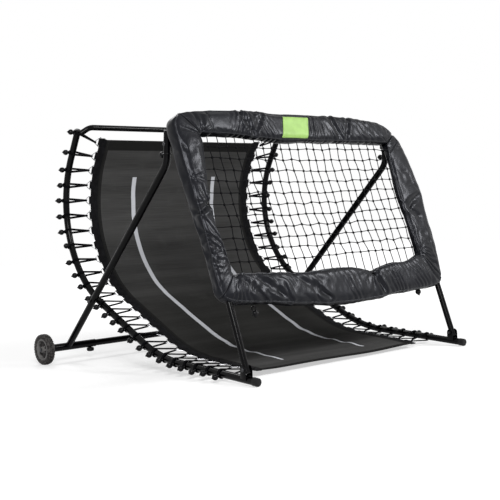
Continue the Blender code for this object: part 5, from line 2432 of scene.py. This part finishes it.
@dataclass
class PadTrim:
    """The piping along the pads' edges, the plain patch, and the ball ties under the bottom pad."""

    pads: Pads
    patch_x: float = -0.0385
    patch_v: float = 1.0470
    patch_half: Pair = (0.0810, 0.0520)
    film: float = 0.0012
    patch_slant: float = 0.34
    tie_x: float = 0.524
    tie_back: float = 0.018
    tie_top: float = 0.248
    tie_ball: float = 0.223
    piping_radius: float = 0.0021
    piping_at: Pair = (0.605, 0.895)
    seam_radius: float = 0.0015
    end_seam: float = 0.004
    stitches: int = 24

    def build(self, covers: list[bpy.types.Object]) -> None:
        """Makes the trim.

        Args:
            covers: the four finished covers.
        """
        self._piping(covers)
        self._patch(covers[0])
        for side in Side:
            self._ball_tie(side)

    def _piping(self, covers: list[bpy.types.Object]) -> None:
        """Piped seams along the front edges of each cover, and sewn seams across it, in a lighter
        vinyl that paints a highlight on them.

        Args:
            covers: the covers.
        """
        graph = bpy.context.evaluated_depsgraph_get()
        to_world = PLANE.matrix
        shapes = []
        for cover, plan in zip(covers, PAD_PLANS):
            tree = BVHTree.FromObject(cover, graph)
            rings = self.pads.rings(plan)
            for share in self.piping_at:
                line = [to_world @ self.pads.smooth(ring, share) for ring in rings]
                shapes.append(self._laid(tree, line, self.piping_radius))
            for seam in (*plan.seams, self.end_seam):
                ring = rings[round(seam * (len(rings) - 1))]
                around = [0.5 + 0.5 * i / self.stitches for i in range(self.stitches + 1)]
                line = [to_world @ self.pads.smooth(ring, share) for share in around]
                shapes.append(self._laid(tree, line, self.seam_radius))
        # The seams take the lighter vinyl: a painted highlight along them.
        settle("pad_piping", joined(shapes), HIGHLIGHTED_PIPING, body=PANEL)

    def _laid(self, tree: BVHTree, line: list[Vector], radius: float) -> Shape:
        """A cord of piping laid on a cover.

        Args:
            tree: the cover's faces.
            line: points near the cover.
            radius: the cord's radius.

        Returns:
            The cord.
        """
        path = []
        for spot in line:
            hit, normal, *_ = tree.find_nearest(spot)
            path.append(hit + normal * radius * 0.2)
        return tube_shape(self._evened(path), radius, 8)

    @staticmethod
    def _evened(path: list[Vector]) -> list[Vector]:
        """Averages out a path's jitter.

        Args:
            path: the path.

        Returns:
            The smooth path.
        """
        smooth = []
        for i in range(len(path)):
            near = path[max(0, i - 2) : i + 3]
            smooth.append(sum(near, Vector()) / len(near))
        return smooth

    def _patch(self, cover: bpy.types.Object) -> None:
        """The patch, laid on the top pad's cover.

        Args:
            cover: the cover.
        """
        graph = bpy.context.evaluated_depsgraph_get()
        tree = BVHTree.FromObject(cover, graph)
        to_world = PLANE.matrix
        ahead = to_world.to_3x3() @ Vector((0.0, 1.0, 0.0))

        def laid(u: float, v: float) -> Vector:
            """A point of the patch on the cover.

            Args:
                u: the share across it.
                v: the share up it.

            Returns:
                The point.
            """
            rise = (v * 2 - 1) * self.patch_half[1]
            x = self.patch_x + (u * 2 - 1) * self.patch_half[0] + rise * self.patch_slant
            up = self.patch_v + rise
            start = to_world @ Vector((x, -0.2, up))
            hit, *_ = tree.ray_cast(start, ahead)
            if hit is None:
                return to_world @ Vector((x, -0.03, up))
            return hit - ahead * 0.0014

        half_wide, half_high = self.patch_half
        shape = grid_surface(32, 20, laid, (2 * half_wide, 2 * half_high))
        axes = {"use_axis_x": True, "use_axis_y": True, "use_axis_z": True}
        bmesh.ops.smooth_vert(shape, verts=shape.verts, factor=0.5, **axes)
        outward(shape)
        piece = settle("patch_panel", shape, GREEN_PRINT, "green_patch", PANEL, sharp=70.0)
        thicken(piece, "film", self.film)

    def _ball_tie(self, side: Side) -> None:
        """The ball tie that hangs under the bottom pad.

        Args:
            side: which side.
        """
        x, deep, ball, top = side.value * self.tie_x, self.tie_back, self.tie_ball, self.tie_top
        half = [(0.004, 0.0, ball), (0.010, 0.0, top - 0.012), (0.006, -0.003, top + 0.002)]
        loop = [(x - across, deep - back, up) for across, back, up in half]
        loop += [(x + across, deep + back, up) for across, back, up in reversed(half)]
        shapes = [tube_shape(flowing(loop, 5, closed=True), TIE_CORD, 8, closed=True)]
        shapes.append(moved(ball_shape(0.0138), onto((x, deep, ball), (0, 0, -1))))
        on_panel = {"body": PANEL, "matrix": PLANE.matrix, "slot": "webbing"}
        settle_side(side, "pad_ball_tie", joined(shapes), BALL_PLASTIC, "pad_tie", **on_panel)


@dataclass
class KnottedNet:
    """The net: wavy cords with a knot where they cross, laced into the pads."""

    half: float = 0.600
    low: float = 0.390
    high: float = 1.008
    columns: int = 23
    rows: int = 12
    cord: float = 0.0020
    knot: float = 0.0062
    side_tuck: float = 0.048
    low_tuck: float = 0.048
    high_tuck: float = 0.030
    loose: float = 0.0040
    droop: float = 0.007
    belly: float = 0.012
    bow: float = 0.0016

    def build(self) -> None:
        """Makes the net."""
        draw = random.Random(41)
        knots = self._knots(draw)
        columns = [list(column) for column in zip(*knots)]
        shapes = [self._cord(line, draw) for line in (*knots[1:-1], *columns[1:-1])]
        shapes += [self._knot(place, draw) for row in knots[1:-1] for place in row[1:-1]]
        settle("net_mesh", joined(shapes), NET_CORD, "net", PANEL, PLANE.matrix, 80.0)

    def _knots(self, draw: random.Random) -> list[list[Vector]]:
        """Where the cords cross, row by row, with the ends tucked into the pads.

        Args:
            draw: what the random numbers come from.

        Returns:
            The rows.
        """
        rows = []
        for j in range(self.rows + 1):
            row = []
            for i in range(self.columns + 1):
                u, w = i / self.columns, j / self.rows
                x = -self.half + 2 * self.half * u
                v = self.low + (self.high - self.low) * w
                middle = math.sin(math.pi * u) * math.sin(math.pi * w)
                inside = 0 < i < self.columns and 0 < j < self.rows
                slack = self.loose if inside else 0.0
                x += draw.uniform(-slack, slack) + slack * math.sin(w * 5.0 + u * 2.0)
                v += draw.uniform(-slack, slack) - self.droop * middle
                depth = draw.uniform(-slack, slack) * 0.8 + self.belly * middle
                if i in (0, self.columns):
                    x += math.copysign(self.side_tuck, x)
                if j in (0, self.rows):
                    v += self.high_tuck if j else -self.low_tuck
                row.append(Vector((x, depth, v)))
            rows.append(row)
        return rows

    def _cord(self, crossings: list[Vector], draw: random.Random) -> Shape:
        """One cord, a little bowed between its crossings.

        Args:
            crossings: where it crosses others.
            draw: what the random numbers come from.

        Returns:
            The cord.
        """
        path = [crossings[0]]
        for a, b in zip(crossings, crossings[1:]):
            bow = Vector((draw.uniform(-1, 1), draw.uniform(-1, 1), draw.uniform(-1, 0.6)))
            path += [(a + b) / 2 + bow * self.bow, b]
        return tube_shape(flowing(path, 2), self.cord, 6)

    def _knot(self, place: Vector, draw: random.Random) -> Shape:
        """One knot.

        Args:
            place: where it is.
            draw: what the random numbers come from.

        Returns:
            The knot.
        """
        shape = bmesh.new()
        bmesh.ops.create_uvsphere(shape, u_segments=7, v_segments=5, radius=self.knot)
        bmesh.ops.scale(shape, verts=shape.verts, vec=(1.15, 0.75, 0.95))
        turn = Matrix.Rotation(draw.uniform(0, math.pi), 4, "Y")
        return moved(shape, Matrix.Translation(place) @ turn)


@dataclass
class Studio:
    """The pale floor, the soft light and the camera of the photograph."""

    camera_at: Triple = (-3.1099, -3.5447, 0.6459)
    yaw: float = math.radians(40.881)
    pitch: float = math.radians(1.671)
    roll: float = math.radians(-2.801)
    lens: float = 69.26
    floor_half: float = 14.0
    floor_colour: Triple = (0.55, 0.55, 0.55)
    glow_near: float = 0.54
    ambient: float = 0.26
    lamp_aim: Triple = (0.0, 0.0, 0.5)

    def build(self) -> None:
        """Makes the floor, the lamps, the world and the camera."""
        self._camera()
        self._floor()
        self._world()
        self._lamp("key", (-2.9, -3.5, 2.6), 1.5, 168.0)
        self._lamp("fill", (2.5, -3.5, 2.9), 1.1, 128.0)
        self._lamp("rim", (0.4, 3.0, 3.6), 1.6, 70.0)
        bpy.context.scene.view_settings.view_transform = "Standard"

    def _camera(self) -> None:
        """The camera at the photograph's viewing angle."""
        level = math.cos(self.pitch)
        ahead = (math.sin(self.yaw) * level, math.cos(self.yaw) * level, -math.sin(self.pitch))
        ahead = Vector(ahead)
        right = ahead.cross(Z_AXIS).normalized()
        up = right.cross(ahead)
        across = right * math.cos(self.roll) + up * math.sin(self.roll)
        upright = up * math.cos(self.roll) - right * math.sin(self.roll)
        data = bpy.data.cameras.new("photo_camera")
        data.lens = self.lens
        data.sensor_width = 36.0
        camera = linked("photo_camera", data)
        turn = Matrix((across, upright, -ahead)).transposed()
        camera.matrix_world = Matrix.Translation(self.camera_at) @ turn.to_4x4()
        bpy.context.scene.camera = camera

    def _floor(self) -> None:
        """The floor, white to the camera but for the soft shadow."""
        shape = bmesh.new()
        bmesh.ops.create_grid(shape, x_segments=2, y_segments=2, size=self.floor_half)
        bmesh.ops.translate(shape, verts=shape.verts, vec=(0, 0, -0.0005))
        floor = linked("studio_floor", mesh_of("studio_floor", shape))
        material = bpy.data.materials.new("studio_floor")
        sheet = NodeSheet(material)
        x, y, _ = sheet.parts(sheet.place())
        far = ((x * x + y * y) ** 0.5).step(1.4, 4.2)
        glow = sheet.seen() * (self.glow_near + far * (1.0 - self.glow_near))
        sheet.surface(
            Base_Color=(*self.floor_colour, 1.0),
            Roughness=1.0,
            Specular_IOR_Level=0.0,
            Emission_Color=sheet.mix(glow, (0.0, 0.0, 0.0), (1.0, 1.0, 1.0)),
            Emission_Strength=1.0,
        )
        floor.data.materials.append(material)

    def _world(self) -> None:
        """The world: white to the camera, and a soft even light."""
        world = bpy.data.worlds.new("studio_world")
        bpy.context.scene.world = world
        sheet = NodeSheet(world, "Background")
        inputs = {"Value": sheet.seen(), "To Min": self.ambient, "To Max": 1.0}
        strength = sheet.node("ShaderNodeMapRange", inputs=inputs)
        sheet.surface(Color=(1.0, 1.0, 1.0, 1.0), Strength=strength)

    def _lamp(self, name: str, place: Triple, size: float, power: float) -> None:
        """One soft lamp, turned to the rebounder's middle.

        Args:
            name: its name.
            place: where it is.
            size: its width.
            power: its power in watts.
        """
        data = bpy.data.lights.new(name, "AREA")
        data.shape = "SQUARE"
        data.size = size
        data.energy = power
        turn = (Vector(self.lamp_aim) - Vector(place)).to_track_quat("-Z", "Y").to_matrix()
        linked(name, data).matrix_world = Matrix.Translation(place) @ turn.to_4x4()


def dress_hidden_nodes() -> None:
    """Gives the CAD nodes that stay, such as nuts and plugs, their finishes."""
    finishes = {
        "rail_splice": POWDER,
        "strut_nut": BOLT_STEEL,
        "hinge_nut": BOLT_STEEL,
        "strut_spacer": BLACK_PLASTIC,
        "axle_plug": BLACK_PLASTIC,
        "leg_plug": BLACK_PLASTIC,
        "net_frame_lower_bar": POWDER,
    }
    for name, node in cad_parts.items():
        for ending, finish in finishes.items():
            if name.endswith(ending):
                for slot in node.material_slots:
                    slot.material = finish.material()


def main() -> None:
    """Builds the rebounder in order, from the stand to the net panel, and the studio."""
    logging.basicConfig(level=logging.INFO, format="%(name)s %(message)s")
    dress_hidden_nodes()
    mat = TrampolineMat()
    struts = [Strut(side) for side in Side]
    stand = [*map(SideRail, Side), TopBar(), Crossbar(), *map(Wheel, Side), *struts]
    stand += [*map(Hinge, Side), mat, *(BungeeRow(side, mat) for side in Side)]
    for part in stand:
        part.build()
    NetFrame().build(struts[0].pin)
    pads = Pads()
    covers = pads.build()
    PadTrim(pads).build(covers)
    KnottedNet().build()
    Studio().build()


if __name__ == "__main__":
    main()
